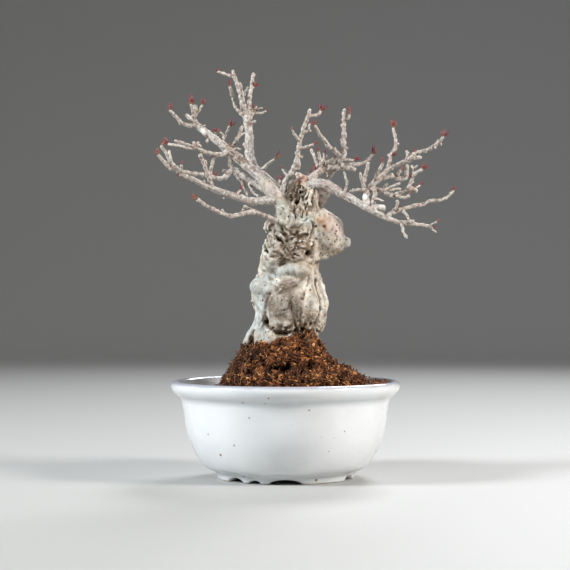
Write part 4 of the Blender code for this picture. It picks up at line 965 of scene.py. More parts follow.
# %% Rough and smooth zones
ROUGH_ZONES = (
    (1.5, 122.5, 12.5, 9.0), (9.0, 148.0, 7.5, 8.0), (7.0, 77.5, 9.0, 4.0), (-9.5, 122.0, 3.5, 7.0),
)
SMOOTH_ZONES = (
    (-13.5, 99.5, 5.5, 5.5), (3.0, 108.6, 10.0, 3.6), (24.5, 127.5, 9.0, 10.5), (-1.0, 142.5, 3.2, 4.0),
    (-6.5, 149.0, 6.0, 5.0), (32.0, 123.4, 3.0, 3.5), (19.8, 147.5, 3.4, 4.5),
)


def zone(across, up, oval):
    """1 inside an oval that is seen from the front, falling to 0 round it."""
    x, z, half_across, half_up = oval
    return np.clip(1.6 - np.hypot((across - x) / half_across, (up - z) / half_up) * 1.1, 0, 1)


def any_zone(across, up, ovals):
    return np.max([zone(across, up, oval) for oval in ovals], axis=0)


across, up = view_of(bark)
front = np.clip(0.5 - bark[:, 1] / MM / 8.0, 0, 1)
rough = np.clip(0.30 + 1.3 * roughness_at(bark, 16.0, 2, 5.0), 0, 1) * (1 - front)
rough = np.maximum(rough, any_zone(across, up, ROUGH_ZONES) * front)
smooth = any_zone(across, up, SMOOTH_ZONES) * front
rough *= 1 - smooth
print("rough share of the bark:", round(float(rough.mean()), 2))

# %% Comb the grain
UPRIGHT = np.array([0, 0, 0, 0, 0, 0, 0, 0, 0.2])
WAY_REACH = 3.5 * MM


def grain_ways(table, lines, swirl):
    """The way in which the bark runs at each place: as the lines near it do, in swirls, or upright."""
    pairs = [(one, two) for line in lines for one, two in zip(line[::3], line[3::3])]
    middles = np.array([(one + two) / 2 for one, two in pairs])
    runs = np.array([(two - one).normalized() for one, two in pairs])
    outer = (runs[:, :, None] * runs[:, None, :]).reshape(-1, 9)
    ways = np.zeros_like(table)
    for start in range(0, len(table), CHUNK):
        some = table[start : start + CHUNK]
        gap = ((some[:, None, :] - middles[None, :, :]) ** 2).sum(axis=2) / WAY_REACH**2
        spread = (np.exp(-gap) @ outer + UPRIGHT).reshape(-1, 3, 3)
        curl = np.array([noise.noise_vector(Vector(spot) * 260) for spot in some])
        curl *= 1.6 * swirl[start : start + CHUNK, None]
        spread += curl[:, :, None] * curl[:, None, :]
        ways[start : start + CHUNK] = np.linalg.eigh(spread)[1][:, :, 2]
    return ways


def combed(mesh, values, ways, rounds):
    """Values smoothed along each vertex's own way, over the edges and diagonals of its quads."""
    corners = np.array([face.vertices for face in mesh.polygons])
    one = corners[:, (0, 1, 0, 1)].T.ravel()
    two = corners[:, (1, 2, 2, 3)].T.ravel()
    table = places(mesh)
    run = table[two] - table[one]
    run /= np.maximum(np.linalg.norm(run, axis=1, keepdims=True), 1e-9)
    weight = np.abs((run * ways[one]).sum(axis=1)) ** 8 + 1e-3
    count = len(values)
    total = np.bincount(one, weight, count) + np.bincount(two, weight, count)
    for _ in range(rounds):
        near = np.bincount(one, weight * values[two], count) + np.bincount(two, weight * values[one], count)
        values = 0.3 * values + 0.7 * near / total
    return np.clip(values / (2 * values.std()), -1, 1)


ways = grain_ways(bark, grain_lines, rough)
grain = combed(trunk_mesh, roughness_at(bark, 0.8, 2, 2.0), ways, 30)
coarse = combed(trunk_mesh, roughness_at(bark, 1.5, 2, 6.0), ways, 45)
print("grain lines:", len(grain_lines))

# %% [markdown]
# All that was carved and combed now goes into one number for each vertex, its move. Gaps open between
# the split strands, fine cracks follow the combed grain, and smooth zones stay calm.

# %% Shape the bark
crust = roughness_at(bark, 1.1, 4, 9.0)
calm = 1 - 0.88 * smooth
front_rough = rough * front
gaps = front_rough * np.clip(1 - 2.0 * tangle, 0, 1) * np.clip(0.85 + 1.2 * strength * coarse, 0.25, 1)
gaps = np.maximum(gaps, (rough - front_rough) * np.clip(-1.8 * coarse - 1.0, 0, 0.6))
cracks = calm * np.clip(-1.9 * grain - 0.8, 0, 1) * np.clip(strength - 0.35, 0, 1)
move += calm * ((0.20 + 0.35 * rough) * coarse + (0.13 + 0.15 * rough) * grain) - 0.35 * cracks
move += (0.25 + 0.75 * rough) * tangle * calm - 1.1 * gaps
move += 0.07 * crust + 0.20 * rough * crust + 0.18 * roughness_at(bark, 4.5, 2, 1.0)
# Cracks and the gaps between strands get painted shade.
dark = np.maximum(dark, np.maximum(0.7 * cracks, 0.95 * gaps))
push_out(trunk_mesh, move)
trunk_mesh = with_modifiers(trunk_mesh, ("SMOOTH", {"factor": 0.25, "iterations": 1}))
sunk = hollow(trunk_mesh, 10)
valley = hollow(trunk_mesh, 90)
print("deepest fold:", round(float(sunk.max()), 2), "mm; highest rope:", round(float(-sunk.min()), 2), "mm")

# %% [markdown]
# ## The trunk's colours
# The bark is a pale warm grey that turns cool and bluish on the left bulge and the lower roots,
# greenish where algae settled on the upper left, and pink on the burl. Each of these zones is a soft
# oval that mixes its colour into the vertices' tint. Some ovals paint light instead: cream highlights
# on the ropes, the waist and the burl, and shade in the nest of limbs under the crown. The shade
# ovals darken the tint where shade falls. The finish adds mottling, brown breathing pores, painted
# highlights on raised bark, painted shade in folds, crevices and broad valleys, and a crust of ochre
# where the folds hold dirt.

# %% Zones of colour
TINTS_AND_PAINTED_LIGHT = (
    ((0.455, 0.495, 0.49), ((-13.5, 99.5, 6.5, 7.0), (-2.0, 108.6, 8.0, 3.6), (-16.5, 76.0, 6.5, 7.5),
        (-13.0, 84.0, 4.0, 8.0), (-8.5, 104.0, 5.0, 3.0))),
    ((0.4, 0.435, 0.395), ((-1.0, 139.5, 4.5, 6.0), (10.5, 135.0, 4.5, 3.0), (-5.0, 128.0, 3.5, 4.0),
        (-9.0, 121.0, 3.0, 7.0))),
    ((0.235, 0.185, 0.15), ((-1.5, 92.5, 6.5, 8.5), (1.5, 100.8, 5.0, 3.0), (5.5, 143.0, 4.0, 6.0),
        (3.0, 122.0, 9.5, 7.5), (-3.0, 116.0, 6.0, 3.0))),
    ((0.6, 0.485, 0.44), ((24.0, 130.5, 8.0, 6.5), (19.8, 148.5, 4.0, 4.5))),
    ((0.44, 0.385, 0.355), ((-7.0, 149.5, 5.0, 4.5),)),
    ((0.36, 0.17, 0.13), ((7.2, 155.9, 3.6, 2.6),)),
    ((0.56, 0.37, 0.26), ((19.4, 133.6, 3.6, 3.4), (20.5, 131.0, 2.0, 2.0))),
    # Painted shade: dark brown in the nest of limbs under the crown.
    ((0.13, 0.088, 0.062), ((4.2, 149.5, 4.0, 4.5), (2.5, 153.5, 2.5, 3.0))),
    # The next two rows are painted highlights, cream to near white, on ropes, the waist, the burl and
    # lumps.
    ((0.7, 0.64, 0.55), ((13.0, 92.0, 5.0, 10.0), (20.0, 116.0, 7.0, 3.0), (12.8, 145.5, 2.6, 6.0),
        (8.8, 110.0, 3.4, 3.0), (17.0, 126.0, 3.5, 6.0), (23.5, 124.0, 6.0, 3.6))),
    ((0.68, 0.655, 0.59), ((19.6, 93.0, 1.6, 9.0), (32.5, 124.0, 3.0, 3.2), (14.0, 91.0, 2.0, 6.0),
        (-1.0, 81.5, 5.0, 2.0), (-6.5, 103.2, 4.0, 1.2), (-5.5, 124.5, 1.2, 4.0), (0.6, 138.4, 1.1, 3.0),
        (16.2, 127.0, 2.2, 4.0))),
)
OCHRE = (
    (16.0, 111.5, 6.0, 2.2), (10.4, 141.0, 1.6, 4.0), (10.5, 78.5, 7.0, 3.4), (14.0, 122.5, 5.0, 3.5),
    (20.2, 131.4, 2.2, 1.6), (13.0, 84.0, 3.0, 3.0), (26.0, 117.5, 6.0, 1.8), (16.0, 135.3, 1.6, 1.4),
    (19.0, 134.2, 1.6, 1.4),
)
SHADE = (
    (12.0, 74.0, 4.0, 5.0), (1.5, 146.5, 3.0, 3.0), (4.5, 149.4, 4.5, 3.5), (7.0, 79.0, 8.5, 3.5),
    (6.0, 126.5, 5.5, 3.5), (-2.0, 115.2, 6.5, 2.2), (-8.5, 92.0, 2.6, 5.0), (12.0, 117.5, 3.0, 2.2),
    (5.5, 87.0, 2.6, 7.0), (-3.0, 84.0, 5.5, 2.5),
)
BARK_COLOUR = (0.47, 0.42, 0.355)
BACK_COLOUR = (0.38, 0.36, 0.30)
BACK_PALE = (0.54, 0.52, 0.47)
MOSS_STAIN_AND_SHADE = (0.10, 0.052, 0.026)
SHADE_DEPTH = np.array([0.58, 0.63, 0.68])
print("zones of colour:", sum(len(ovals) for _, ovals in TINTS_AND_PAINTED_LIGHT) + len(OCHRE) + len(SHADE))


# %% Tint the trunk
def climb_of(table, across):
    """How high the moss of the mound climbs up the bark: highest on the right of the front."""
    right = bell(across - 10.5, 6.5) * (table[:, 1] < 0)
    return 70.0 + 8.5 * right + (1.2 + 2.5 * right) * roughness_at(table, 3.0, 2, 4.0)


def stain(tint, colour, amount):
    """Mix a colour into the tint of each vertex by its own amount."""
    tint += (np.array(colour) - tint) * amount[:, None]


bark = places(trunk_mesh)
across, up = view_of(bark)
tint = np.tile(BARK_COLOUR, (len(bark), 1))
patchy = roughness_at(bark, 7.0, 3, 3.0)
for colour, ovals in TINTS_AND_PAINTED_LIGHT:
    for oval in ovals:
        amount = np.clip(zone(across, up, oval) * (0.8 + 0.9 * patchy), 0, 1)
        stain(tint, colour, amount * np.clip(front + 0.25, 0, 1))
stain(tint, BACK_COLOUR, (1 - front) * np.clip(0.5 + patchy, 0, 1))
stain(tint, BACK_PALE, (1 - front) * np.clip(1.4 * roughness_at(bark, 14.0, 3, 7.0), 0, 0.8))
ochre = np.maximum(rough * 0.55, any_zone(across, up, OCHRE) * front)
shade = any_zone(across, up, SHADE) * front
tint *= 1 - shade[:, None] * SHADE_DEPTH
# Near the mound the bark turns deep brown: a moss stain, with painted shade where the trunk meets the
# mound.
low = (climb_of(bark, across) + 1.5 - up) / 2.5
stain(tint, MOSS_STAIN_AND_SHADE, np.clip(low, 0, 0.9))
ridges = 0.30 * grain * (1 - 0.5 * smooth) + 0.12 * coarse
# Painted highlight on the crests of the split strands.
crest_highlight = 0.35 * front_rough * np.clip(tangle - 0.3, 0, 1)
tint *= (1 + ridges + crest_highlight)[:, None]
keep(trunk_mesh, tint=tint, sunk=sunk, valley=valley, dark=dark, ochre=ochre)
print("mean colour of the bark:", [round(float(c), 2) for c in tint.mean(axis=0)])

# %% Finish the bark
wood = Finish("old_grey_bark", Specular_IOR_Level=0.4)
mottle = wood.cloud(2.4, 5.0)
fine = wood.cloud(0.5, 4.0)
sunk = wood.kept("sunk")
dark = wood.kept("dark")
colour = wood.kept("tint", "Color")
colour = wood.mix(wood.step(mottle, 0.42, 0.68) * 0.8, colour, (0.68, 0.58, 0.48), "MULTIPLY")
colour = wood.mix(wood.step(wood.cloud(1.0, 4.0), 0.56, 0.70) * 0.45, colour, (0.66, 0.64, 0.57))
# Painted highlight: bark that stands above its smoothed neighbourhood turns near white.
colour = wood.mix(wood.step(sunk, -0.12, -0.45) * 0.50, colour, (0.80, 0.77, 0.70))
# Painted shade: broad valleys of the bark turn dark brown.
valley_shade = wood.step(wood.kept("valley") + mottle * 1.2, 0.9, 2.6)
colour = wood.mix(valley_shade * 0.75, colour, (0.17, 0.115, 0.065))
rusty = wood.kept("ochre") * wood.step(wood.cloud(1.8, 4.0), 0.44, 0.60)
colour = wood.mix(rusty * 0.75, colour, (0.25, 0.155, 0.06))
pores = wood.dots(2.3, 0.46).larger(wood.dots(4.9, 0.85)) * wood.step(wood.cloud(9.0, 2.0), 0.34, 0.50)
fine_pores = wood.dots(1.35, 0.30) * wood.step(wood.cloud(5.5, 2.0), 0.50, 0.62) * 0.75
pores = pores.larger(fine_pores)
colour = wood.mix(pores * 0.8, colour, (0.115, 0.055, 0.025))
# Painted shade in hollows, folds, pits, cracks and gaps: dark brown.
painted_shade = wood.step(sunk + fine * 0.25, 0.17, 0.45).larger(wood.step(dark + fine * 0.4, 0.30, 0.70))
colour = wood.mix(painted_shade * 0.8, colour, (0.125, 0.083, 0.050))
# Painted shade, near black, in the deepest hollows and gaps.
painted_deep_shade = wood.step(sunk + fine * 0.25, 0.55, 1.0).larger(wood.step(dark + fine * 0.4, 0.65, 1.1))
colour = wood.mix(painted_deep_shade * 0.93, colour, (0.022, 0.013, 0.007))
relief = fine * 0.6 + mottle * 0.4 - pores * 0.8
bark_skin = wood.wear(colour, 0.52 + 0.25 * fine + painted_deep_shade * 0.2, relief, 0.18)
piece("trunk_bark", trunk_mesh, bark_skin, ["trunk"])

# %% [markdown]
# ## Limbs and twigs
# Every stem is one row: lean, thick, thin and then the points of its route, as seen from the front.
# Lean is how much it goes back for each mm along. The first stem of a limb starts at the limb's own
# depth, and each later one as deep as the stem that it springs from. A bud scale is a row of its girth,
# foot and tip. These are the rows that the CAD limbs were made from.

# %% Stems of the left upper limb
LEFT_UPPER = (
    (0.22, 4.6, 1.7, (5, 141), (-2, 146), (-7, 152), (-12, 157), (-16, 160.5), (-20, 163.5),
        (-25, 167.5), (-30, 171.5), (-36, 176.5), (-42, 181), (-47.5, 185.5)),
    (0.1, 1.5, 1.15, (-46.5, 184.7), (-48.2, 188), (-47.9, 191), (-47.2, 195.2)),
    (-0.3, 0.9, 0.7, (-48, 190), (-49.1, 193.5), (-49.6, 195.7)),
    (0.35, 0.95, 0.7, (-47.9, 188.6), (-45.5, 192.3), (-43.4, 195.2)),
    (-0.2, 1.3, 1.05, (-47, 185.1), (-49.4, 187.3), (-52.3, 190.3)),
    (-0.35, 1.15, 0.8, (-46.3, 184.5), (-51, 184.5), (-54.5, 186), (-57.5, 189), (-60.9, 192.6)),
    (0.2, 0.8, 0.7, (-55, 186.4), (-55.6, 184.7)),
    (0.2, 0.8, 0.6, (-42.6, 181.5), (-43.6, 183.5), (-42, 184.6)),
    (-0.4, 0.85, 0.55, (-39.8, 179.3), (-41.5, 175.3)),
    (0.3, 0.9, 0.75, (-36.8, 177.1), (-36.7, 180.9)),
    (0.45, 0.95, 0.7, (-34.3, 175.1), (-32, 178.5), (-30.5, 181.5), (-29.3, 184)),
    (-0.3, 0.65, 0.55, (-31.9, 178.7), (-34.6, 181.3)),
    (-0.3, 1.4, 0.8, (-29.5, 171.1), (-33, 169.3), (-37, 169.5), (-41.5, 170.3), (-46.5, 172.5),
        (-52, 174.5), (-58.3, 176.6)),
    (0.35, 0.85, 0.7, (-46, 172.3), (-52, 173), (-57, 174), (-61.5, 174.7)),
    (0.3, 0.95, 0.85, (-44.7, 171.7), (-46, 175.9)),
    (-0.4, 0.9, 0.8, (-47.2, 172.8), (-48.3, 176)),
    (-0.05, 1.5, 1.3, (-29.5, 171), (-29.6, 167), (-28.6, 163), (-26.4, 159.6)),
    (-0.1, 1.3, 0.85, (-26.9, 160.4), (-24.8, 157.4), (-22.6, 154.6), (-20.9, 150.4), (-19.2, 147.6)),
    (0.1, 1.1, 0.9, (-27.6, 160.6), (-30.3, 160.4), (-33.3, 160.8)),
    (-0.24, 1.6, 1.5, (-27, 161.2), (-22, 157.8), (-17.5, 154.5), (-12, 151.3), (-8, 150)),
    (-0.35, 0.95, 0.7, (-18.4, 155.1), (-18.5, 152.6), (-17, 149.6), (-13.9, 147)),
    (-0.12, 1.35, 0.85, (-28.2, 161.4), (-30.2, 158.6), (-33.5, 156.7), (-38, 157.2), (-44, 158.6),
        (-52.5, 160), (-56.5, 161.8), (-60.5, 165.7), (-62.5, 170), (-65.4, 174)),
    (0.0, 0.95, 0.85, (-37.4, 169.5), (-38, 166), (-39, 161.5), (-39.6, 157.6)),
    (0.5, 1.15, 0.9, (-27.6, 169.6), (-27.9, 172.5), (-26, 176.5), (-24, 180.5), (-22.7, 184)),
    (0.35, 0.8, 0.6, (-25.6, 177.4), (-23.2, 179.4), (-21.4, 180.6)),
    (-0.1, 0.8, 0.6, (-27.7, 171.4), (-25.6, 172.5), (-22.9, 171.7)),
    (-0.55, 0.85, 0.6, (-26, 168.3), (-23.6, 168.3), (-21.4, 166.6)),
    (0.1, 0.85, 0.7, (-6.6, 151.6), (-4.1, 153.6), (-3.2, 156)),
    (0.0, 0.9, 0.7, (-26.8, 169), (-29.3, 170.4), (-29.6, 173)),
)
LEFT_UPPER_BUDS = (
    (1.0, (-49.5, 195.4), (-51, 198.2)), (1.2, (-49.5, 195.4), (-49.8, 201.5)),
    (1.0, (-49.5, 195.4), (-47.4, 198.8)), (1.1, (-43.5, 195), (-41.9, 199.6)),
    (0.9, (-43.5, 195), (-43.8, 198.8)), (1.1, (-60.7, 192.3), (-60, 197.2)),
    (0.9, (-36.7, 180.5), (-37.9, 183.8)), (0.9, (-36.7, 180.5), (-35.6, 183.7)),
    (1.1, (-29.4, 183.7), (-28, 188.2)), (0.9, (-29.4, 183.7), (-25.8, 186.2)),
    (0.8, (-34.3, 181), (-35.2, 183)), (0.9, (-29.6, 172.6), (-29.6, 175.9)),
    (1.1, (-61.2, 174.6), (-63.8, 178.3)), (0.9, (-61.2, 174.6), (-65.1, 175.9)),
    (1.0, (-65.2, 173.7), (-63.9, 177)), (0.9, (-35.6, 156.9), (-37.4, 161)),
    (0.8, (-3.3, 155.6), (-4.9, 158.2)), (0.8, (-3.3, 155.6), (-1.2, 158.8)),
)
# %% Stems of the left leader
LEFT_LEADER = (
    (0.12, 2.9, 2.1, (-14, 158), (-16.6, 162), (-18.4, 167), (-19, 172), (-19, 178), (-19.3, 183),
        (-20.6, 189.4)),
    (0.2, 1.6, 0.9, (-20.2, 187.5), (-21.5, 191), (-22.5, 195), (-23.5, 200), (-25, 205), (-26.9, 210.6),
        (-27.8, 213.5)),
    (0.1, 0.8, 0.7, (-26.6, 209.8), (-30.5, 211), (-35.3, 212.7)),
    (-0.32, 1.15, 1.0, (-20.9, 189.6), (-22, 196), (-23.2, 202.6), (-24, 206.8)),
    (-0.15, 1.15, 0.8, (-20.6, 188.4), (-24, 191.5), (-26.3, 194.5), (-27.4, 198.4), (-29.2, 205)),
    (0.28, 1.35, 0.9, (-20.2, 187.4), (-19.5, 190.5), (-19, 195), (-18.8, 199), (-17.8, 205),
        (-16.8, 212)),
    (0.0, 0.6, 0.5, (-18.1, 203.4), (-16.2, 204.7)),
    (-0.3, 0.8, 0.6, (-23.2, 199), (-21.4, 201.3), (-19.4, 204.8)),
    (0.5, 1.0, 0.7, (-19.6, 185.6), (-18, 189.2), (-16.5, 191.5), (-15.3, 194.8)),
    (-0.2, 0.65, 0.55, (-16.1, 192.2), (-13.7, 193.3), (-11.9, 193.6)),
    (0.4, 0.8, 0.6, (-16.8, 191.1), (-13, 191), (-10, 192.1)),
    (-0.2, 0.6, 0.55, (-17.6, 189.9), (-17.4, 193.2)),
    (-0.4, 1.0, 0.75, (-19.2, 184.9), (-15.7, 186.9)),
    (0.1, 1.4, 1.15, (-18.9, 171.2), (-21.9, 175.1)),
    (-0.3, 1.0, 0.7, (-15.2, 160), (-11.5, 162), (-9.3, 164.3), (-5.5, 166.8)),
)
LEFT_LEADER_BUDS = (
    (1.1, (-35, 212.6), (-36.8, 215)), (1.1, (-29.1, 204.6), (-29.6, 209)),
    (0.9, (-16.4, 204.5), (-16.3, 208.2)), (0.9, (-16.4, 204.5), (-13.4, 207)),
    (0.8, (-17.4, 192.9), (-16.4, 196.4)), (1.1, (-5.8, 166.6), (-2, 171.2)),
    (0.8, (-10.3, 192), (-8.4, 193.4)),
)
# %% Stems of the left lower limb
LEFT_LOWER = (
    (-0.34, 2.7, 0.9, (4, 142), (-3, 144.5), (-8, 145), (-12, 145), (-17, 144.6), (-22, 145.8),
        (-27, 147.5), (-32, 149), (-38, 151.2), (-42, 152.7), (-46, 155), (-53.5, 158.4), (-57, 160.8),
        (-60, 162), (-63, 164.5), (-66.9, 169.3)),
    (-0.1, 1.2, 0.9, (-38.4, 151.4), (-40, 156.5), (-41.5, 161), (-43.5, 166), (-45, 169.6)),
    (0.3, 0.75, 0.65, (-41.6, 161.4), (-42, 166.4)),
    (0.3, 0.8, 0.6, (-59.8, 162), (-60, 165.5), (-61, 171.6)),
    (-0.3, 0.75, 0.6, (-54, 158.8), (-54.6, 161), (-54.5, 163.8)),
    (0.0, 0.85, 0.75, (-31.6, 148.9), (-32.4, 145.9)),
    (0.0, 0.85, 0.75, (-42.4, 153), (-43.1, 155.9)),
    (0.25, 0.75, 0.65, (-27.2, 147.6), (-25, 149.3), (-23.3, 150.6)),
)
LEFT_LOWER_BUDS = (
    (1.1, (-66.7, 169), (-67.6, 173)), (0.9, (-66.7, 169), (-68.9, 170.9)),
    (0.9, (-54.5, 163.4), (-54, 166.4)), (0.7, (-53.9, 158.6), (-55.1, 155.9)),
    (0.7, (-55.8, 160), (-57.3, 157.4)), (0.9, (-23.5, 150.3), (-23.5, 153.9)),
)
# %% Stems of the lowest limb
LOWEST = (
    (-0.42, 1.35, 0.8, (-3.4, 134.1), (-8, 136), (-13, 138), (-17.5, 140), (-22, 142.3)),
    (-0.45, 1.3, 0.85, (-15, 139), (-20, 138.8), (-24, 137.8), (-28, 137), (-32, 137.8), (-36, 139.5),
        (-40, 141.5), (-44, 144), (-46.5, 145.9)),
    (0.3, 0.8, 0.7, (-32.4, 138), (-33.3, 140.7)),
    (0.3, 0.7, 0.6, (-22, 138.4), (-22.3, 140.9)),
)
LOWEST_BUDS = (
    (1.1, (-46.2, 145.7), (-48.2, 149.4)), (0.9, (-46.2, 145.7), (-49.9, 147.2)),
)
# %% Stems of the centre leader
CENTRE = (
    (-0.08, 1.5, 0.95, (-0.6, 146), (-1.5, 149.5), (-1.2, 152), (0, 155.5), (3.4, 160), (5.6, 165),
        (6.5, 170), (7.3, 175), (8.6, 180), (10.1, 185), (12.1, 190), (12.7, 193.2)),
    (0.3, 0.85, 0.7, (11.7, 189.2), (15, 189.8), (17.5, 190.5), (18.6, 192.3)),
    (-0.4, 0.75, 0.6, (7.6, 176.3), (5.2, 179), (3.3, 182.2)),
    (-0.35, 0.8, 0.65, (6.9, 172.4), (10, 173), (15, 174.6)),
    (0.35, 0.75, 0.6, (9, 181.4), (11.6, 181.6), (12.8, 185.4)),
    (0.0, 0.6, 0.5, (11.8, 181.8), (13.6, 181.5)),
    (0.2, 0.8, 0.65, (1.7, 157.7), (-1.8, 161.6)),
    (0.2, 0.85, 0.75, (6.2, 168.2), (9, 168)),
    (-0.2, 0.75, 0.65, (6.5, 170.4), (4.8, 170.3)),
    (0.15, 1.3, 1.3, (6, 167), (6.8, 164), (6.4, 161.5)),
)
CENTRE_BUDS = (
    (1.1, (18.4, 192), (18.7, 196.3)), (1.1, (18.4, 192), (21.9, 195.2)),
    (0.9, (3.5, 181.9), (2.9, 184.4)), (0.9, (14.7, 174.5), (17.6, 176.3)),
    (0.8, (12.7, 185.1), (13.2, 187.4)), (0.8, (-1.5, 161.3), (-2.8, 164)),
)
# %% Stems of the crown limb
CROWN = (
    (0.18, 2.5, 1.6, (11.5, 152), (13.3, 156), (15.5, 158.5), (18, 160.5), (22, 162), (26, 162.3),
        (30.2, 162.8)),
    (-0.3, 1.3, 1.1, (29.5, 162.7), (33, 162), (37, 161.3)),
    (0.22, 1.3, 0.8, (29.6, 162.8), (35, 163.8), (39, 164.3), (42.5, 166), (45.9, 169.3)),
    (0.3, 1.25, 0.95, (25.8, 162.1), (24, 158.8), (22.6, 156.2)),
    (0.1, 0.95, 0.75, (20.9, 161.5), (21.7, 157.2)),
    (0.06, 1.7, 1.0, (29, 162.5), (29.3, 166), (30.7, 170.6), (30.5, 175), (30.7, 180), (30.5, 184.5),
        (30.6, 189), (30.9, 193.2)),
    (0.0, 0.7, 0.6, (30.5, 176.2), (28.6, 176.9)),
    (0.0, 0.7, 0.6, (30.5, 184.1), (28.9, 184.9)),
    (-0.3, 0.7, 0.6, (30.7, 172.2), (32.9, 172.7)),
    (-0.3, 0.8, 0.65, (30.5, 187.9), (32.9, 188.2), (33.8, 190.3)),
    (-0.25, 1.3, 0.8, (29.4, 167), (26, 171), (23, 173), (20.9, 176.2), (18.4, 179.2), (15.2, 184.7)),
    (0.0, 1.0, 0.9, (26.2, 170.6), (25.7, 173)),
    (-0.3, 0.95, 0.7, (29.6, 166.2), (32.8, 166.3), (36, 166)),
    (-0.25, 1.05, 0.8, (17.9, 160.3), (18.7, 163.5), (18.3, 166.5), (17.2, 170.6)),
    (0.4, 0.95, 0.75, (16.6, 159.3), (16.8, 163), (15.6, 166.7), (13.3, 172)),
    (0.1, 0.9, 0.75, (19.5, 161), (20, 165), (20.4, 170)),
    (0.3, 0.6, 0.5, (20.1, 163.9), (21.8, 166.4), (21.7, 169.1)),
    (-0.3, 0.95, 0.75, (20, 162.4), (23, 165.5), (25.4, 167.4)),
    (0.16, 1.25, 1.15, (23.8, 162), (26.6, 165.4), (29.2, 167.8)),
)
CROWN_BUDS = (
    (1.1, (45.6, 169), (46.6, 174.3)), (0.9, (45.6, 169), (48.5, 171.7)),
    (1.1, (33.7, 190), (33.5, 195.2)), (0.9, (15.4, 184.4), (15.7, 187.8)),
    (0.8, (15.4, 184.4), (13.8, 186.1)), (0.9, (35.7, 166), (38.1, 168.8)),
    (0.9, (35.7, 166), (39.8, 167.2)), (0.9, (17.3, 170.3), (17.2, 173.7)),
    (0.8, (20.4, 169.6), (20.9, 172.3)), (0.8, (25.1, 167.2), (26.9, 168.9)),
    (1.0, (16, 158.8), (12.6, 161.6)), (1.1, (16.8, 159.6), (14.4, 164.3)),
    (1.0, (14.4, 157.3), (10.2, 159.2)), (0.7, (13.4, 171.7), (12.6, 173.9)),
)
# %% Stems of the right lower limb
RIGHT_LOWER = (
    (-0.22, 3.5, 0.95, (8, 149), (13, 153), (18, 154), (22, 153), (25, 151.2), (30, 148.4), (35, 145.8),
        (40, 142.7), (45, 140), (50, 137.5), (54, 135.5), (58, 134.2), (62.5, 133.5), (67.7, 134.3)),
    (0.25, 1.8, 1.6, (44.8, 140.2), (47, 141.4), (52, 141)),
    (0.25, 1.0, 0.8, (61.5, 133.6), (68, 132.7), (72, 132.3), (75.6, 131.5)),
    (-0.3, 0.6, 0.5, (75, 131.6), (77.5, 133.2), (79.6, 134.1)),
    (0.2, 0.6, 0.5, (75.2, 131.6), (77.2, 130.5)),
    (0.6, 0.6, 0.45, (75, 131.6), (77, 129.9), (79.1, 128.4)),
    (-0.3, 0.85, 0.6, (60, 133.9), (61.4, 131), (61.6, 128.8), (63.8, 125.2)),
    (0.12, 1.15, 0.75, (53.2, 135.9), (54.8, 138), (60, 140.2), (68, 142.5), (72, 143), (75.5, 144.8),
        (80, 145), (84, 146.5), (88.3, 150.4)),
    (-0.3, 0.95, 0.75, (57, 138.9), (58.3, 142), (58.9, 143.8), (58.3, 145.4)),
    (-0.5, 0.85, 0.6, (61.2, 140.5), (63.4, 137.6), (64.7, 135)),
    (-0.1, 0.75, 0.6, (30.8, 148), (31.5, 151), (32.3, 154.6), (31.4, 157), (30.6, 160.4)),
)
RIGHT_LOWER_BUDS = (
    (0.8, (76.9, 130.7), (79.5, 131.6)), (1.1, (88.1, 150.1), (88.8, 154)),
    (0.8, (58.1, 141.3), (60.9, 142.8)), (0.8, (79.2, 134), (81.3, 135.2)),
)
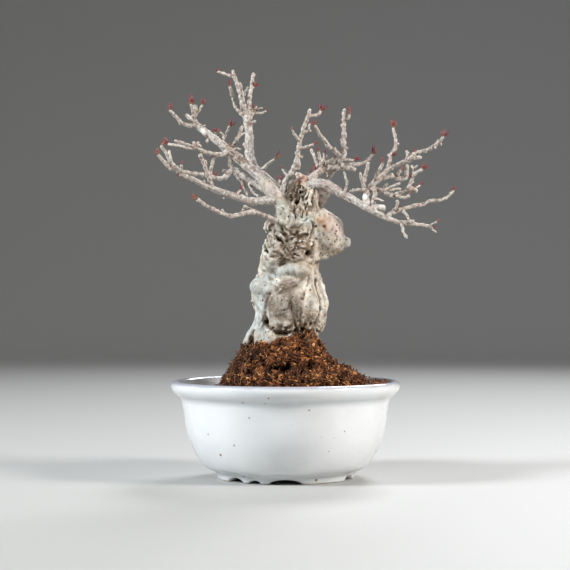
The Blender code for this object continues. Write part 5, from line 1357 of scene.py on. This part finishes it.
# %% Stems of the right upper spray
RIGHT_UPPER = (
    (0.3, 2.2, 1.6, (42.2, 141), (42.5, 143.4), (42.2, 147), (44, 150.6), (46, 153.6), (48.6, 156.6)),
    (0.3, 1.25, 1.15, (45.8, 140.4), (46, 144), (46.6, 147), (46.9, 149.5), (45.4, 152.2)),
    (-0.5, 0.65, 0.5, (46.2, 145.6), (48.5, 146), (51.6, 144.8)),
    (0.5, 0.95, 0.75, (43.6, 150.2), (40, 150.8), (36, 150.2), (33.4, 149.8)),
    (-0.15, 1.15, 0.85, (42.7, 148.6), (41.2, 151.8), (41.3, 156), (42.3, 160), (43.6, 165.4)),
    (-0.4, 0.85, 0.7, (41.2, 152.6), (39.8, 156.5), (39, 159.9)),
    (-0.35, 1.1, 0.85, (47.2, 155), (47.6, 157.6), (49, 161), (51.2, 164.6)),
    (0.2, 1.4, 1.15, (48, 156.1), (50.5, 158.4), (54.2, 162)),
    (0.3, 1.15, 0.8, (53.7, 161.6), (54.7, 166), (55.2, 168.9), (57, 171.7), (57.8, 174.5),
        (57.6, 177.5), (56.3, 183.2)),
    (-0.2, 0.7, 0.6, (57.7, 174.1), (59.7, 175.1)),
    (0.2, 0.75, 0.65, (54.9, 168.3), (53.6, 169.4)),
    (-0.06, 1.25, 0.85, (52, 160), (57, 163), (61, 165), (64.5, 166), (67, 169), (70, 170.5),
        (74, 171.5), (79, 174.5), (83, 178.6)),
    (-0.3, 0.65, 0.55, (77.8, 173.8), (78.9, 172.2)),
    (0.3, 0.65, 0.55, (80.4, 175.7), (81.9, 174.2)),
    (0.35, 1.15, 1.0, (63.2, 165.6), (64.3, 168.6), (63.3, 171.2)),
    (-0.45, 1.05, 0.9, (64.6, 166.1), (68, 167.5), (71.4, 167.7)),
    (0.4, 1.35, 1.15, (47.9, 155.7), (53, 157.5), (57.3, 158.5)),
    (0.15, 1.35, 1.15, (56.6, 158.4), (60, 156.5), (63, 157.2), (63.5, 160), (63.8, 164.2)),
    (-0.3, 1.1, 1.0, (57.4, 158), (60.7, 160.9)),
    (-0.15, 1.5, 1.3, (45, 152), (47.5, 150.7), (52.4, 150)),
    (0.45, 0.95, 0.8, (50.8, 150.2), (53.3, 154)),
    (-0.5, 0.95, 0.7, (51.7, 150.1), (56, 152.5), (60.1, 154.1)),
    (0.55, 0.85, 0.6, (51.8, 150), (57, 151), (60.6, 151.3)),
    (-0.12, 1.3, 0.8, (51.2, 150.2), (55, 148), (58, 148.3), (61, 149.8), (64, 151.5), (66, 155.2),
        (67.4, 159.5), (67.2, 162.7)),
    (0.4, 0.65, 0.55, (67.4, 161.2), (65.9, 163.6)),
    (-0.4, 0.65, 0.55, (67.3, 161.6), (69.4, 163.6)),
    (-0.3, 1.0, 0.8, (66.8, 157.8), (69, 160), (72, 161.4)),
    (0.3, 1.15, 1.1, (64, 151.6), (66.6, 151.2), (69, 149.7)),
    (0.6, 0.6, 0.5, (67.2, 150.9), (70.6, 153.1)),
    (-0.35, 0.95, 0.75, (57.7, 148.3), (60.5, 146.8), (63, 146.8), (65, 147.9)),
)
RIGHT_UPPER_BUDS = (
    (1.0, (51, 164.3), (50.6, 168.5)), (1.1, (56.4, 182.8), (55.6, 188)),
    (1.0, (56.4, 182.8), (58, 187.1)), (1.3, (55.1, 168.2), (58.3, 170.4)),
    (1.0, (82.7, 178.2), (82.1, 182.4)), (1.0, (82.7, 178.2), (84.3, 182.8)),
    (0.9, (82.7, 178.2), (85.8, 181.2)), (0.9, (67.1, 168.9), (68.3, 173.2)),
    (0.9, (60.4, 160.6), (61.5, 163.4)), (1.0, (66.4, 156.4), (64.8, 159.4)),
    (0.9, (66.8, 157.6), (68.6, 160.8)), (1.1, (71.7, 161.2), (73, 165.8)),
    (0.9, (71.7, 161.2), (75.1, 163.7)), (0.8, (67.4, 151), (68.5, 153.7)),
    (0.9, (70.4, 152.9), (72.4, 155.1)), (0.7, (64.7, 147.7), (65.8, 150.4)),
)

# %% [markdown]
# A limb is (name, stems, buds, axis, depth). The leader and the spray stand on another limb, so they
# share its axis and take their depth from it.

# %% The limbs
LIMBS = (
    ("left_upper", LEFT_UPPER, LEFT_UPPER_BUDS, "left", -1.0),
    ("left_leader", LEFT_LEADER, LEFT_LEADER_BUDS, "left", None),
    ("right_lower", RIGHT_LOWER, RIGHT_LOWER_BUDS, "right", -2.0),
    ("right_upper", RIGHT_UPPER, RIGHT_UPPER_BUDS, "right", None),
    ("left_lower", LEFT_LOWER, LEFT_LOWER_BUDS, "left_lower", -3.0),
    ("lowest", LOWEST, LOWEST_BUDS, "lowest", -11.5),
    ("centre", CENTRE, CENTRE_BUDS, "centre", -4.0),
    ("crown", CROWN, CROWN_BUDS, "crown", 0.5),
)
for name, stems, buds, _, _ in LIMBS:
    print(f"{name}: {len(stems)} stems and {len(buds)} bud scales in sight")

# %% [markdown]
# A twig grows from node to node. At each node it swells, turns a little, and often bears a short spur
# that once carried berries. So each route is smoothed into a curve, swellings are added along it, and
# spurs spring from some of them, each to its own random side. One voxel remesh then grows the stems
# of a limb together, as wood does in a fork.

# %% Lay out the stems
TWIG_FAN = 1.5
SWAY = 0.8
SWAY_RUN = 4.5
TAPER = 1.3


def nearest_depth(axis, across, up):
    """The depth of the limb's laid-out wood where it is nearest to a place seen from the front."""
    return min(axis, key=lambda spot: math.hypot(spot[0] - across, spot[1] - up))[2]


def lay_out(stems, axis, depth):
    """Each stem as 4-D points: its place in metres and its radius in mm."""
    laid_out = []
    for lean, thick, thin, *route in stems:
        start = nearest_depth(axis, *route[0]) if depth is None else depth
        fan = TWIG_FAN if axis else 1.0
        depth = None
        runs = [0.0]
        for (x, z), (next_x, next_z) in zip(route, route[1:]):
            runs.append(runs[-1] + math.hypot(next_x - x, next_z - z))
        phase = route[0][0]
        spots = []
        stem = []
        for (x, z), run in zip(route, runs):
            sway = SWAY * (math.sin(run / SWAY_RUN + phase) - math.sin(phase))
            spots.append((x, z, start + fan * lean * run + sway))
            radius = thin + (thick - thin) * (1 - run / runs[-1]) ** TAPER
            stem.append(with_radius(seen(*spots[-1]), radius))
        laid_out.append(stem)
        for one, two in zip(spots, spots[1:]):
            axis += [tuple(a + (b - a) * share / 4 for a, b in zip(one, two)) for share in range(5)]
    return laid_out


# %% Grow nodes and spurs
CURVE_STEP = 0.45 * MM
KNOTTY_RADIUS = 2.1
SPUR_RADIUS = 1.25
BARE_SHARE = 0.35


def square_to(direction, chance):
    """A random direction at right angles to the given one."""
    side = direction.cross(Vector([chance.gauss(0, 1) for _ in range(3)]))
    return side.normalized() if side.length > 1e-6 else Vector((1, 0, 0))


def knotty(stem, chance):
    """The stem with swollen nodes along it, and the spurs that spring from them."""
    curve = flowing(stem, CURVE_STEP)
    runs = [0.0]
    for one, two in zip(curve, curve[1:]):
        runs.append(runs[-1] + (two.to_3d() - one.to_3d()).length / MM)
    total = runs[-1]
    nodes = []
    at = chance.uniform(0.8, 2.5)
    while at < total - 0.6:
        radius = curve[round(at / total * (len(curve) - 1))][3]
        thin = min(max(KNOTTY_RADIUS - radius, 0.08), 1)
        nodes.append((at, thin * chance.uniform(0.10, 0.34), 0.5 + 1.4 * (1 - thin)))
        at += chance.uniform(2.0, 4.2) * (2.2 - 1.2 * thin)
    grown = []
    side = square_to(Vector((0, 0, 1)), chance)
    for point, run in zip(curve, runs):
        place = point.to_3d()
        swell = sum(size * math.exp(-(((run - node) / reach) ** 2)) for node, size, reach in nodes)
        wander = noise.noise_vector(place * 330) * 0.16 * min(1, run / 2) * min(1, (total - run) / 2 + 0.3)
        kink = side * 0.12 * math.sin(run * 1.9) * min(1, 1 / point[3])
        uneven = 1 + 0.10 * noise.noise(place * 420)
        grown.append(with_radius(place + (wander + kink) * MM, point[3] * uneven * (1 + swell)))
    grown[-1] = with_radius(grown[-1].to_3d(), grown[-1][3] * 0.8)
    spurs = []
    for node, _, _ in nodes:
        index = min(range(len(runs)), key=lambda i: abs(runs[i] - node))
        here, radius = grown[index].to_3d(), grown[index][3]
        if radius > SPUR_RADIUS or chance.random() < BARE_SHARE:
            continue
        after, before = curve[min(index + 1, len(curve) - 1)], curve[max(index - 1, 0)]
        ahead = (after - before).to_3d().normalized()
        out = (square_to(ahead, chance) + ahead * 0.6).normalized()
        tip = here + out * (radius + chance.uniform(0.25, 0.75)) * MM
        girth = radius * 0.55
        bends = ((here, 1.0), (here.lerp(tip, 0.6), 0.95), (tip, 0.55))
        spurs.append([with_radius(place, girth * share) for place, share in bends])
    return grown, spurs


# %% Marks on the twigs
LIMB_VOXEL = 0.30
THICK_LIMB = 3.0
PALE_CUTS = (
    (-50.6, 188.8, 1.5), (50.8, 141.4, 2.2), (41.6, 147.2, 1.6), (-43.8, 181.2, 2.2), (13.2, 193.2, 1.0),
)


def nearest_wood(routes, table):
    """For each place: the radius of the nearest stem, the way it runs, and 1 if that is its tip."""
    finder = kdtree.KDTree(sum(len(route) for route in routes))
    girths, ways, ends = [], [], []
    for route in routes:
        for index, point in enumerate(route):
            finder.insert(point.to_3d(), len(girths))
            girths.append(point[3])
            ways.append((route[max(index, 1)] - route[max(index, 1) - 1]).to_3d().normalized())
            ends.append(1.0 if index == len(route) - 1 else 0.0)
    finder.balance()
    nearest = np.array([finder.find(Vector(spot))[1] for spot in table])
    return np.array(girths)[nearest], np.array(ways)[nearest], np.array(ends)[nearest]


# %% Grow the limbs
axes = {}
limb_stems = {}
bud_spots = []
for name, stems, buds, axis_name, depth in LIMBS:
    axis = axes.setdefault(axis_name, [])
    limb_stems[name] = lay_out(stems, axis, depth)
    for girth, (x, z), (tip_x, tip_z) in buds:
        level = nearest_depth(axis, x, z)
        bud_spots.append((girth, seen(x, z, level), seen(tip_x, tip_z, level)))

limb_meshes = {}
for number, (name, stems) in enumerate(limb_stems.items()):
    chance = random.Random(100 + number)
    routes = []
    for stem in stems:
        grown, spurs = knotty(stem, chance)
        routes += [grown, *spurs]
    mesh = grown_together(threads(routes, 10), LIMB_VOXEL, 3)
    table = places(mesh)
    girths, ways, tip = nearest_wood(routes, table)
    age = np.clip((girths - 0.5) / THICK_LIMB, 0, 1)
    fine = roughness_at(table, 0.9, 3, 4.0)
    broad = roughness_at(table, 3.2, 2, 6.0)
    streak = combed(mesh, roughness_at(table, 0.55, 2, 1.0), ways, 24)
    push_out(mesh, (0.05 + 0.04 * age) * fine + (0.04 + 0.20 * age) * broad + (0.04 + 0.07 * age) * streak)
    across, up = view_of(table)
    pale = np.max([bell(np.hypot(across - x, up - z), radius) for x, z, radius in PALE_CUTS], axis=0)
    keep(mesh, age=age, streak=streak, tip=tip, pale=pale, sunk=hollow(mesh, 8))
    limb_meshes[name] = mesh

# %% [markdown]
# Young wood is buff with a pink cast and dull nodes, and old wood is the trunk's pale grey. Raised
# bumps get a painted highlight and hollows painted shade. Where a stem was cut, the end shows brown.
# The age that each vertex keeps, from the stem's girth, mixes one into the other.

# %% Finish the twigs
twig = Finish("twig_bark", Specular_IOR_Level=0.45)
mottle = twig.cloud(1.4, 4.0)
grain = twig.cloud(0.4, 3.0)
sunk = twig.kept("sunk")
young = twig.mix(twig.step(mottle, 0.40, 0.60), (0.125, 0.085, 0.065), (0.48, 0.41, 0.35))
young = twig.mix(twig.step(twig.cloud(5.0, 2.0), 0.5, 0.66) * 0.6, young, (0.36, 0.235, 0.21))
old = twig.mix(twig.step(mottle, 0.38, 0.62), (0.28, 0.24, 0.215), (0.57, 0.54, 0.50))
old = twig.mix(twig.step(twig.cloud(7.0, 2.0), 0.48, 0.62) * 0.6, old, (0.40, 0.30, 0.285))
colour = twig.mix(twig.step(twig.kept("age"), 0.10, 0.45), young, old)
dull = twig.step(twig.kept("streak") + grain * 0.5, 0.1, -0.7)
colour = twig.mix(dull * 0.7, colour, (0.50, 0.42, 0.36), "MULTIPLY")
# Painted highlight on raised bumps of the wood.
colour = twig.mix(twig.step(sunk, 0.0, -0.22) * 0.5, colour, (0.72, 0.68, 0.61))
pores = twig.dots(1.5, 0.27)
colour = twig.mix(pores * 0.6, colour, (0.17, 0.09, 0.05))
# Painted shade in hollows and forks of the wood.
colour = twig.mix(twig.step(sunk, 0.10, 0.40) * 0.8, colour, (0.09, 0.05, 0.03))
cut_end = twig.kept("tip") * twig.step(twig.cloud(0.8, 2.0), 0.4, 0.6)
colour = twig.mix(cut_end * 0.5, colour, (0.20, 0.11, 0.06))
fresh_cut = twig.step(twig.kept("pale") + grain * 0.3, 0.4, 0.9)
colour = twig.mix(fresh_cut * 0.85, colour, (0.76, 0.74, 0.71))
twig_skin = twig.wear(colour, 0.5 + 0.2 * grain, grain * 0.5 + mottle * 0.5 - pores * 0.6, 0.08)
for name, mesh in limb_meshes.items():
    piece("branch_" + name, mesh, twig_skin, ["limb_" + name])

# %% [markdown]
# ## Buds
# At the tips the buds break: two or three crimson scales, folded and pointed, that part like a beak,
# on a small buff base. A scale is an icosphere pulled flat and pointed. Each vertex keeps how near it
# is to the scale's tip, and the finish runs from brown over crimson to a lighter red edge.

# %% Shape a bud scale
def bud_scale():
    """A pointed, slightly hollow scale that stands on the origin, 1 long."""
    bm = bmesh.new()
    bmesh.ops.create_icosphere(bm, subdivisions=2, radius=1.0)
    for vert in bm.verts:
        height = vert.co.z * 0.5 + 0.5
        width = math.sin(math.pi * min(1, height * 0.82 + 0.18)) ** 0.7 * (1 - 0.35 * height)
        vert.co.x *= 0.42 * width
        vert.co.y = vert.co.y * 0.20 * width + 0.30 * (vert.co.x * 2.0) ** 2 + 0.16 * height * height
        vert.co.z = height
    return finished(bm)


# %% Set the buds
BASE_GIRTH = 0.62
BASE_LENGTH = 0.30
LONG_BUD = 3.6
EDGE_ROOM = 1.0
EDGE_SHARE = 0.84
chance = random.Random(23)
scale_mesh = bud_scale()
base_mesh = lump(2.0, 1, 0.3)
scale_spots = []
base_spots = []


def bud_part(ahead, place, size, *turns):
    """A matrix that puts a part of a bud, given in mm, at its place along the bud's own axis."""
    matrix = Matrix.Translation(place) @ ahead
    for turn in turns:
        matrix = matrix @ turn
    return matrix @ Matrix.Diagonal((*size, 1.0)) @ Matrix.Scale(MM, 4)


for girth, root, tip in bud_spots:
    reach = tip - root
    length = reach.length / MM
    ahead = reach.to_track_quat("Z", "Y").to_matrix().to_4x4()
    base_size = (BASE_GIRTH * girth, BASE_GIRTH * girth, BASE_LENGTH * length)
    base_spots.append(bud_part(ahead, root + reach * 0.2, base_size))
    room = min(min(tip[i] - cad_box[0][i], cad_box[1][i] - tip[i]) for i in range(3)) / MM
    inside = 1.0 if room > EDGE_ROOM else EDGE_SHARE
    first = chance.uniform(0, 360)
    for index in range(3 if length > LONG_BUD else 2):
        turn = first + (0, 180, 90)[index] + chance.uniform(-25, 25)
        around = Matrix.Rotation(math.radians(turn), 4, "Z")
        part = Matrix.Rotation(math.radians(chance.uniform(-8, -1)), 4, "X")
        tall = length * inside * (chance.uniform(0.88, 1.06) if index < 2 else chance.uniform(0.45, 0.65))
        broad = girth * chance.uniform(1.1, 1.6)
        off = Matrix.Translation((0, 0.15 * girth * MM, 0))
        size = (broad, broad, tall)
        scale_spots.append(bud_part(ahead, root + reach * 0.06, size, around, off, part))
scales, scale_counts = strewn([scale_mesh], scale_spots)
bases, base_counts = strewn([base_mesh], base_spots)
bud_mesh = joined(scales, bases)
rise = np.concatenate([np.tile(places(scale_mesh)[:, 2], len(scale_spots)), np.zeros(base_counts.sum())])
counts = np.concatenate([scale_counts, base_counts])
keep(bud_mesh, rise=rise, tone=np.repeat([chance.random() for _ in counts], counts))
print("buds:", len(base_spots), "with", len(scale_spots), "scales")

# %% Finish the buds
red = Finish("opening_buds", Specular_IOR_Level=0.5)
tone = red.kept("tone")
rise = red.kept("rise") + (red.cloud(0.9, 3.0) - 0.5) * 0.35
colour = red.mix(red.step(rise, 0.0, 0.25), (0.20, 0.10, 0.055), (0.17, 0.016, 0.020))
colour = red.mix(red.step(rise, 0.30, 0.60) * red.step(rise, 0.95, 0.65) * tone, colour, (0.37, 0.08, 0.09))
colour = red.mix(red.step(tone, 0.82, 0.90) * 0.8, colour, (0.32, 0.11, 0.03))
bud_skin = red.wear(colour, 0.42 + 0.2 * red.cloud(0.6), red.cloud(0.35, 3.0), 0.05)
piece("opening_buds", bud_mesh, bud_skin)

# %% [markdown]
# ## The mound
# The trunk stands on a steep mound of chopped moss and fine roots. Its core is the CAD mound, made
# lumpy and dark, with painted shade in its hollows and caves and painted highlights on its raised
# clumps. Over it lie thousands of short bent fibres: on the left they are straight and comb down the
# slope, elsewhere they curl in clumps. Crumbs of moss fill in, and a few fibres stand up.
#
# A clump is (across, up, radius, amount), and a negative amount makes a dark cave. The two edges are the
# mound's outline in the photograph, as (up, across), and whatever lies beyond them is drawn in.

# %% The core
MOSS_CLUMPS = (
    (-12.7, 54.0, 2.4, 0.5), (-3.9, 70.6, 3.0, 0.5), (3.6, 69.4, 3.4, 0.5), (-8.1, 61.3, 2.2, 0.4),
    (8.0, 62.6, 3.4, 0.45), (17.0, 53.8, 3.4, 0.5), (25.3, 56.2, 3.0, 0.4), (16.0, 66.0, 3.4, 0.4),
    (19.5, 61.5, 3.0, 0.35), (34.0, 54.0, 2.6, 0.3), (-15.0, 68.5, 2.4, 0.35), (-1.5, 54.5, 2.6, 0.25),
    (0.2, 58.8, 3.4, -0.6), (-14.0, 63.9, 2.2, -0.5), (5.3, 67.0, 1.6, -0.9), (19.0, 57.6, 2.2, -0.45),
    (12.0, 59.0, 2.2, -0.45), (-20.6, 68.0, 2.4, -0.4), (-7.0, 57.0, 2.0, -0.45), (8.0, 55.5, 2.0, -0.4),
    (-18.0, 56.0, 3.0, -0.35), (28.5, 52.5, 2.0, -0.35),
)
MOUND_LEFT = ((50.5, -34.0), (69.3, -22.3))
MOUND_RIGHT = ((53.0, 40.8), (57.6, 34.6), (61.3, 25.3), (66.4, 22.0), (75.5, 16.5))
MOUND_VOXEL = 0.75
MOUND_FOOT = 47
HIGHEST_CLUMP = 1.6
mound_mesh = block_of("root_mound", MOUND_VOXEL, 4)
table = places(mound_mesh)
across, up = view_of(table)
clumps = 0.8 * roughness_at(crooked(table, 5.0, 1.5, 2.0), 4.6, 3, 8.0)
for x, z, radius, amount in MOSS_CLUMPS:
    clumps += amount * bell(np.hypot(across - x, up - z), radius) * (table[:, 1] < 5 * MM)
right_edge = np.interp(up, *zip(*MOUND_RIGHT))
left_edge = np.interp(up, *zip(*MOUND_LEFT))
beyond = np.clip(np.maximum(across - right_edge, left_edge - across) + 1.8, 0, 5)
crumbly = ridges_at(table, 2.2, 3, 3.0)
caves = np.clip(-2.6 * clumps - 0.22, 0, 1)
upper = np.clip((table[:, 2] / MM - MOUND_FOOT) / 3, 0, 1)
move = upper * (2.6 * clumps - 1.0 + 0.8 * crumbly - 2.2 * caves) - beyond * (table[:, 2] > MOUND_FOOT * MM)
push_out(mound_mesh, np.minimum(move, HIGHEST_CLUMP))
# The moss's tone is painted lighter on raised clumps and darker in caves, as light and shade, over its own
# uneven colour.
keep(mound_mesh, sunk=hollow(mound_mesh, 10), tone=0.10 + 0.5 * clumps - 0.3 * caves)
print("mound:", len(mound_mesh.vertices), "vertices, in caves:", int((caves > 0.4).sum()))

# %% [markdown]
# Fibres grow from the mound's open skin: what faces outwards or upwards and isn't in a cave. They also
# climb a little way up the bark. A fibre is a thread of four points with four sides.

# %% Where fibres grow
OPEN_LEVEL = 46.5
mound_table = places(mound_mesh)
mound_normals = outward(mound_mesh)
bark_table = places(trunk_mesh)
across, up = view_of(bark_table)
mossy = np.flatnonzero(up < climb_of(bark_table, across))[::3]
outer = mound_table[:, :2] - np.array([POT_AXIS_ACROSS * MM, 0])
facing = (mound_normals[:, :2] * outer).sum(axis=1) / np.maximum(np.hypot(*outer.T), 1e-6)
outside = (facing > 0.1) | (mound_normals[:, 2] > 0.5)
open_skin = np.flatnonzero((mound_table[:, 2] > OPEN_LEVEL * MM) & outside & (caves < 0.4))
open_skin = np.concatenate([open_skin, len(mound_table) + np.arange(len(mossy))])
mound_table = np.concatenate([mound_table, bark_table[mossy]])
mound_normals = np.concatenate([mound_normals, outward(trunk_mesh)[mossy]])
clumps = np.concatenate([clumps, roughness_at(bark_table[mossy], 3.0, 2, 5.0)])
print("places where a fibre may grow:", len(open_skin))


def on_slope(chance, left):
    """A random spot on the open skin with its normal and tone: on the left slope or elsewhere."""
    while True:
        index = int(open_skin[chance.randrange(len(open_skin))])
        spot = Vector(mound_table[index])
        across = spot.x / MM - POT_AXIS_ACROSS
        if across < chance.uniform(-30, -12) if left else across > chance.uniform(-60, -14):
            # A fibre's tone follows the clumps' height, a painted light and shade, with a random share.
            tone = 0.10 + 1.6 * clumps[index] + chance.uniform(-0.22, 0.32)
            return spot, Vector(mound_normals[index]), min(max(tone, 0), 1)


# %% Fibres
STRAIGHT_FIBRES = 2300
CURLED_FIBRES = 6900
STANDING_SHARE = 0.07
DOWN = Vector((0, 0, -1))
ALONG_FIBRE = ((-0.5, 0.5), (-0.17, 1.0), (0.17, 0.9), (0.5, 0.35))


def fibre(spot, normal, chance, straight):
    """Four points of a bent fibre that lies on the mound or stands up from it."""
    if straight:
        run = (DOWN - normal * DOWN.dot(normal)).normalized()
        run = (run + square_to(normal, chance) * chance.uniform(0, 0.45)).normalized()
        ranges = ((3.0, 7.0), (0.14, 0.34), (0.0, 0.22), (-0.25, 0.25))
    else:
        run = square_to(normal, chance)
        ranges = ((1.6, 5.2), (0.12, 0.36), (0.0, 0.7), (-0.9, 0.9))
    length, girth, stand, bend = [chance.uniform(*some) for some in ranges]
    if not straight and chance.random() < STANDING_SHARE:
        stand = chance.uniform(0.9, 1.8)
    side = run.cross(normal)
    ahead = (run + normal * stand).normalized()
    points = []
    for share, thickness in ALONG_FIBRE:
        bow = side * bend * length * (share * share - 0.1)
        arch = normal * (0.45 - 1.6 * share * share * (0.4 + 0.4 * (share < 0)))
        place = spot + (ahead * share * length + (bow + arch)) * MM
        points.append(with_radius(place, girth * thickness))
    return points


def fibres(count, seed, straight):
    chance = random.Random(seed)
    routes = []
    tones = []
    for _ in range(count):
        spot, normal, tone = on_slope(chance, straight)
        routes.append(fibre(spot, normal, chance, straight))
        tones.append(tone)
    mesh = threads(routes, 4)
    keep(mesh, tone=np.repeat(tones, len(mesh.vertices) // count))
    return mesh


straight_mesh = fibres(STRAIGHT_FIBRES, 5, True)
curled_mesh = fibres(CURLED_FIBRES, 6, False)
print("fibres:", STRAIGHT_FIBRES + CURLED_FIBRES)

# %% Crumbs
CRUMBS = 1500
chance = random.Random(77)
flakes = [lump(seed * 5.1, 1, 0.95, 0.55) for seed in range(6)]
crumb_spots = []
crumb_tones = []
for _ in range(CRUMBS):
    spot, normal, tone = on_slope(chance, False)
    size = chance.triangular(0.35, 1.35, 0.6)
    crumb_spots.append(turned_and_scaled(spot + normal * 0.35 * size * MM, size, chance))
    crumb_tones.append(tone)
crumb_mesh, counts = strewn(flakes, crumb_spots)
keep(crumb_mesh, tone=np.repeat(crumb_tones, counts))
print("crumbs:", len(counts))

# %% Finish the moss
MOSS_STOPS = (
    (0.0, (0.012, 0.005, 0.003)), (0.25, (0.065, 0.022, 0.01)), (0.5, (0.2, 0.068, 0.023)),
    (0.75, (0.5, 0.2, 0.062)), (1.0, (0.72, 0.38, 0.15)),
)
ROOT_STOPS = ((0.0, (0.012, 0.006, 0.004)), (0.5, (0.12, 0.050, 0.025)), (1.0, (0.36, 0.18, 0.09)))
moss, moss_colour, moss_grain = earth("chopped_moss", MOSS_STOPS, (0.50, 0.26, 0.11), 1.6)
moss_skin = moss.wear(moss_colour, None, moss_grain, 0.12)
core, core_colour, core_grain = earth("mound_core", MOSS_STOPS, (0.30, 0.13, 0.05), 2.2)
# Painted shade: the core turns near black in its hollows.
core_colour = core.mix(core.step(core.kept("sunk"), -0.2, 0.7), core_colour, (0.020, 0.008, 0.004))
core_skin = core.wear(core_colour, None, core_grain, 0.35)
roots, root_colour, root_grain = earth("dark_roots", ROOT_STOPS, (0.24, 0.12, 0.07), 1.4)
root_skin = roots.wear(root_colour, None, root_grain, 0.08)
piece("mound_body", mound_mesh, core_skin, ["root_mound"])
piece("mound_straight_fibres", straight_mesh, root_skin)
piece("mound_curled_fibres", curled_mesh, moss_skin)
piece("mound_crumbs", crumb_mesh, moss_skin, smooth=False)

# %% [markdown]
# ## The stalk in the soil
# A dry weed stalk stands in the soil on the right. The CAD soil has it as a plain stick, and a thin
# ribbed thread goes over it.

# %% The stalk
STALK = ((44.0, 44.5, 0.75), (44.1, 47.5, 0.62), (44.0, 50.5, 0.60), (44.0, 52.9, 0.50))
STALK_DEPTH = -14.0
stalk = [with_radius(seen(across, up, STALK_DEPTH), radius) for across, up, radius in STALK]
stalk_mesh = threads([flowing(stalk, 0.4 * MM)], 12)
dry = Finish("dry_stalk", Roughness=0.8)
ribs = dry.cloud(0.5, 3.0, dry.drawn_out(6.0))
dry_skin = dry.wear(dry.mix(ribs, (0.05, 0.03, 0.02), (0.20, 0.13, 0.08)), None, ribs, 0.1)
piece("dry_stalk", stalk_mesh, dry_skin)

# %% [markdown]
# ## Stage, light and camera
# The part stands on a plain pale floor that curves up far away on all sides, as paper does in a
# studio, so no horizon shows. Two soft lights hang to the left and right, a little in front. The right
# one is warmer and weaker, and a third one from behind draws the twigs' edges. The camera stands at the
# height and distance that the photograph gives. It looks level, so the pot's rim is seen from just
# above and the crown from below.

# %% Floor
FLAT = 1.5
BEND = 1.0
WALL = 1.5
bm = bmesh.new()
middle = bmesh.ops.create_vert(bm, co=(0, 0, 0))["vert"]
edge = bmesh.ops.extrude_vert_indiv(bm, verts=middle)["verts"]
bmesh.ops.translate(bm, verts=edge, vec=(FLAT, 0, 0))
bent = bmesh.ops.spin(bm, geom=edge, cent=(FLAT, 0, BEND), axis=(0, -1, 0), angle=math.pi / 2, steps=24)
top = [item for item in bent["geom_last"] if isinstance(item, bmesh.types.BMVert)]
wall = bmesh.ops.extrude_vert_indiv(bm, verts=top)["verts"]
bmesh.ops.translate(bm, verts=wall, vec=(0, 0, WALL))
outline = list(bm.verts) + list(bm.edges)
upright = {"cent": (0, 0, 0), "axis": (0, 0, 1)}
bmesh.ops.spin(bm, geom=outline, **upright, angle=math.tau, steps=96, use_merge=True)
bmesh.ops.remove_doubles(bm, verts=bm.verts, dist=1e-5)
floor_mesh = finished(bm)
if floor_mesh.polygons[0].normal.z < 0:
    floor_mesh.flip_normals()
floor_mesh.shade_smooth()
print("floor faces:", len(floor_mesh.polygons))
paper = Finish("pale_floor", Roughness=0.6)
cover(floor_mesh, paper.wear(paper.mix(paper.cloud(3.0, 4.0), (0.43, 0.43, 0.42), (0.47, 0.47, 0.46))))
floor = bpy.data.objects.new("floor", floor_mesh)
bpy.context.scene.collection.objects.link(floor)

# %% Lights
SPREAD = 120


def soft_light(name, place, aim_up, size, power, colour):
    """A round lamp at a place in metres that looks at the tree's axis, aim_up metres high."""
    light = bpy.data.lights.new(name, "AREA")
    light.spread = math.radians(SPREAD)
    light.shape = "DISK"
    light.size = size
    light.energy = power
    light.color = colour
    holder = bpy.data.objects.new(name, light)
    holder.location = place
    aim = Vector((0, 0, aim_up)) - Vector(place)
    holder.rotation_euler = aim.to_track_quat("-Z", "Y").to_euler()
    bpy.context.scene.collection.objects.link(holder)


soft_light("left_light", (-1.26, -0.51, 0.84), 0.11, 0.50, 13.8, (0.93, 0.975, 1.0))
soft_light("right_light", (1.26, -0.54, 0.75), 0.10, 0.50, 11.7, (1.0, 0.96, 0.92))
soft_light("back_light", (0.40, 1.10, 0.95), 0.14, 0.60, 6.0, (0.95, 0.97, 1.0))
world = bpy.data.worlds.new("studio")
world.use_nodes = True
surroundings = world.node_tree.nodes["Background"].inputs
surroundings["Color"].default_value = (0.80, 0.82, 0.85, 1.0)
surroundings["Strength"].default_value = 0.20
bpy.context.scene.world = world
bpy.context.scene.view_settings.view_transform = "Standard"
print("lamps:", [lamp.name for lamp in bpy.data.lights])

# %% Camera
LENS = 110.1
SIDE_SHIFT = -0.26
camera_data = bpy.data.cameras.new("camera")
camera_data.lens = LENS
camera_data.sensor_width = 36.0
camera_data.clip_end = 20.0
camera = bpy.data.objects.new("camera", camera_data)
camera.location = ((POT_AXIS_ACROSS + SIDE_SHIFT) * MM, -VIEW_AWAY * MM, VIEW_UP * MM)
camera.rotation_euler = (math.radians(90), 0, 0)
bpy.context.scene.collection.objects.link(camera)
bpy.context.scene.camera = camera
print("camera in m:", [round(c, 3) for c in camera.location])
